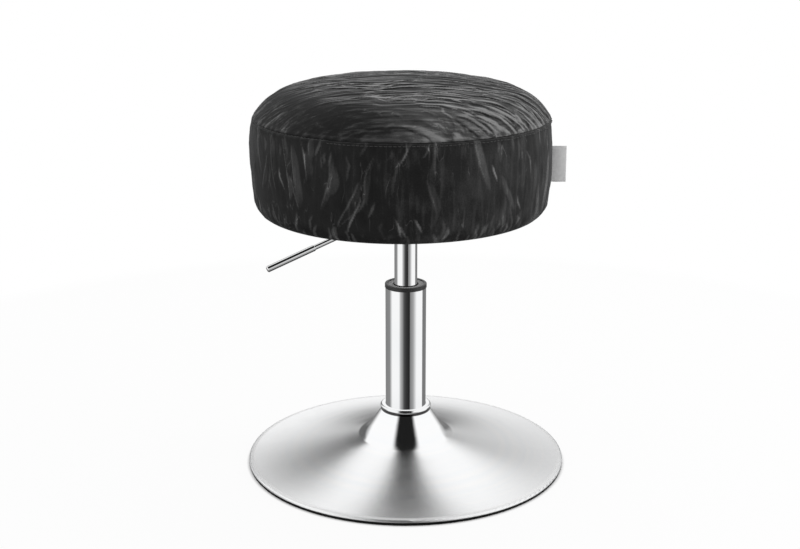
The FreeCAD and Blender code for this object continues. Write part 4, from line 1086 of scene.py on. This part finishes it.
def studio_boxes(graph):
    """What metal mirrors: boxes at both sides, with a dark gap between them from the front to overhead."""
    direction = graph.node("TexCoord", {}, output=0)
    split = graph.node("SeparateXYZ", {0: direction}).node
    across, away, up = split.outputs
    toward = graph.reckon("MULTIPLY", away, -1.0)
    turn = graph.reckon("ARCTAN2", across, toward)
    back_left = [(0.0, 0.22), (0.08, 0.26), (0.214, 0.30)]
    left_box = [(0.27, BOX_LEVEL), (0.391, BOX_LEVEL)]
    dark_gap = [(0.417, 0.56), (0.449, 0.33), (0.465, 0.15), (0.481, 0.075), (0.513, 0.04), (0.562, 0.02)]
    pale_screen = [(0.568, 0.26), (0.62, 0.45)]
    right_box = [(0.68, BOX_LEVEL), (0.80, BOX_LEVEL)]
    back_right = [(0.806, 0.22), (0.92, 0.24), (1.0, 0.22)]
    level_boxes = graph.steps(
        graph.spread(turn, 0.0, 1.0, -math.pi, math.pi),
        [*back_left, *left_box, *dark_gap, *pale_screen, *right_box, *back_right],
    )
    high_sides = graph.spread(up, 0.0, 1.0, -0.12, 0.06, kind="SMOOTHSTEP")
    behind = graph.spread(away, 0.0, 1.0, 0.05, 0.35)
    low_boxes = graph.blend(graph.reckon("MULTIPLY", high_sides, behind), level_boxes, grey(BOX_LEVEL))
    at_back = graph.spread(away, 0.0, 1.0, 0.60, 0.80, kind="SMOOTHSTEP")
    at_back = graph.reckon("MULTIPLY", at_back, graph.spread(up, 0.0, 1.0, -0.22, -0.06))
    low_boxes = graph.blend(at_back, low_boxes, backdrop(graph, across, up))
    low_boxes = graph.blend(graph.spread(up, 0.0, 0.92, -0.36, -0.62), low_boxes, grey(0.02))
    in_front = graph.spread(toward, 0.0, 1.0, 0.25, 0.45)
    below = graph.spread(up, 0.0, 1.0, -0.62, -0.78)
    low_boxes = graph.blend(graph.reckon("MULTIPLY", in_front, below), low_boxes, grey(0.8))

    roof = graph.spread(away, 0.0, 0.66, 0.5, 0.8)
    above = graph.spread(graph.reckon("SUBTRACT", up, roof), 0.0, 1.0, 0.0, 0.16)
    boxes = graph.blend(above, low_boxes, grey(BOX_LEVEL))

    inner = graph.spread(toward, 0.030, 0.36, -0.62, 0.6)
    outer = graph.spread(toward, 0.085, 0.60, -0.62, 0.6)
    aside = graph.reckon("ABSOLUTE", graph.reckon("SUBTRACT", across, 0.004))
    between = graph.spread(aside, 1.0, 0.0, inner, outer, kind="SMOOTHSTEP")
    start = graph.spread(away, 0.0, 0.42, 0.5, 0.9)
    overhead = graph.spread(graph.reckon("SUBTRACT", up, start), 0.0, 1.0, 0.0, 0.16)
    between = graph.reckon("MULTIPLY", between, overhead)
    gap = graph.steps(away, [(0.45, 0.015), (0.60, 0.02), (0.75, 0.07), (0.88, 0.45)])
    return graph.blend(between, boxes, gap)


def make_world():
    """White to the camera, a plain soft level for diffuse light, and the studio's boxes in reflections."""
    world = bpy.data.worlds.new("studio")
    scene.world = world
    world.use_nodes = True
    world.cycles.sampling_method = "NONE"
    graph = Graph(world.node_tree)
    path = graph.node("LightPath", {}).node
    mirrored = graph.reckon("MAXIMUM", path.outputs["Is Glossy Ray"], path.outputs["Is Transmission Ray"])
    lit = graph.blend(mirrored, grey(SOFT_LEVEL), studio_boxes(graph))
    shown = graph.blend(path.outputs["Is Camera Ray"], lit, grey(1.0))
    graph.join(shown, graph.tree.nodes["Background"].inputs["Color"])


def add_lamp(name, place, aim, size, power):
    lamp = bpy.data.lights.new(name, "AREA")
    lamp.shape = "RECTANGLE"
    lamp.size, lamp.size_y = size
    lamp.energy = power
    made = bpy.data.objects.new(name, lamp)
    made.location = place
    made.rotation_euler = (Vector(aim) - Vector(place)).to_track_quat("-Z", "Y").to_euler()
    made.visible_glossy = False
    scene.collection.objects.link(made)


def make_lamps():
    middle = (0.0, 0.0, 0.35)
    add_lamp("top_box", (0.3, 0.7, 1.9), middle, (1.4, 1.0), 8.0)
    add_lamp("left_box", (-1.5, -0.3, 0.9), middle, (0.5, 1.3), 1.5)
    add_lamp("right_box", (1.6, -0.2, 0.9), middle, (0.6, 1.3), 7.0)


def make_camera():
    lens = bpy.data.cameras.new("camera")
    lens.lens = LENS
    lens.sensor_width = 36.0
    camera = bpy.data.objects.new("camera", lens)
    camera.location = CAMERA_PLACE
    camera.rotation_euler = (CAMERA_TILT, 0.0, 0.0)
    scene.collection.objects.link(camera)
    scene.camera = camera


scene.view_settings.view_transform = "Standard"
finishes = finish_frame()
cushion = make_cushion()
dress(cushion, finishes["velvet"], "seat")
dress(make_stitches(cushion), finishes["thread"], "seat")
dress(make_dust_cloth(), finishes["dust_cloth"], "seat")
dress(make_staples(), finishes["zinc_steel"], "seat")
dress(make_tab(), finishes["grey_tape"], "seat")
# The metal mirrors the studio alone
for piece in scene.objects:
    if piece.type == "MESH":
        piece.visible_glossy = False
make_floor()
make_world()
make_lamps()
make_camera()
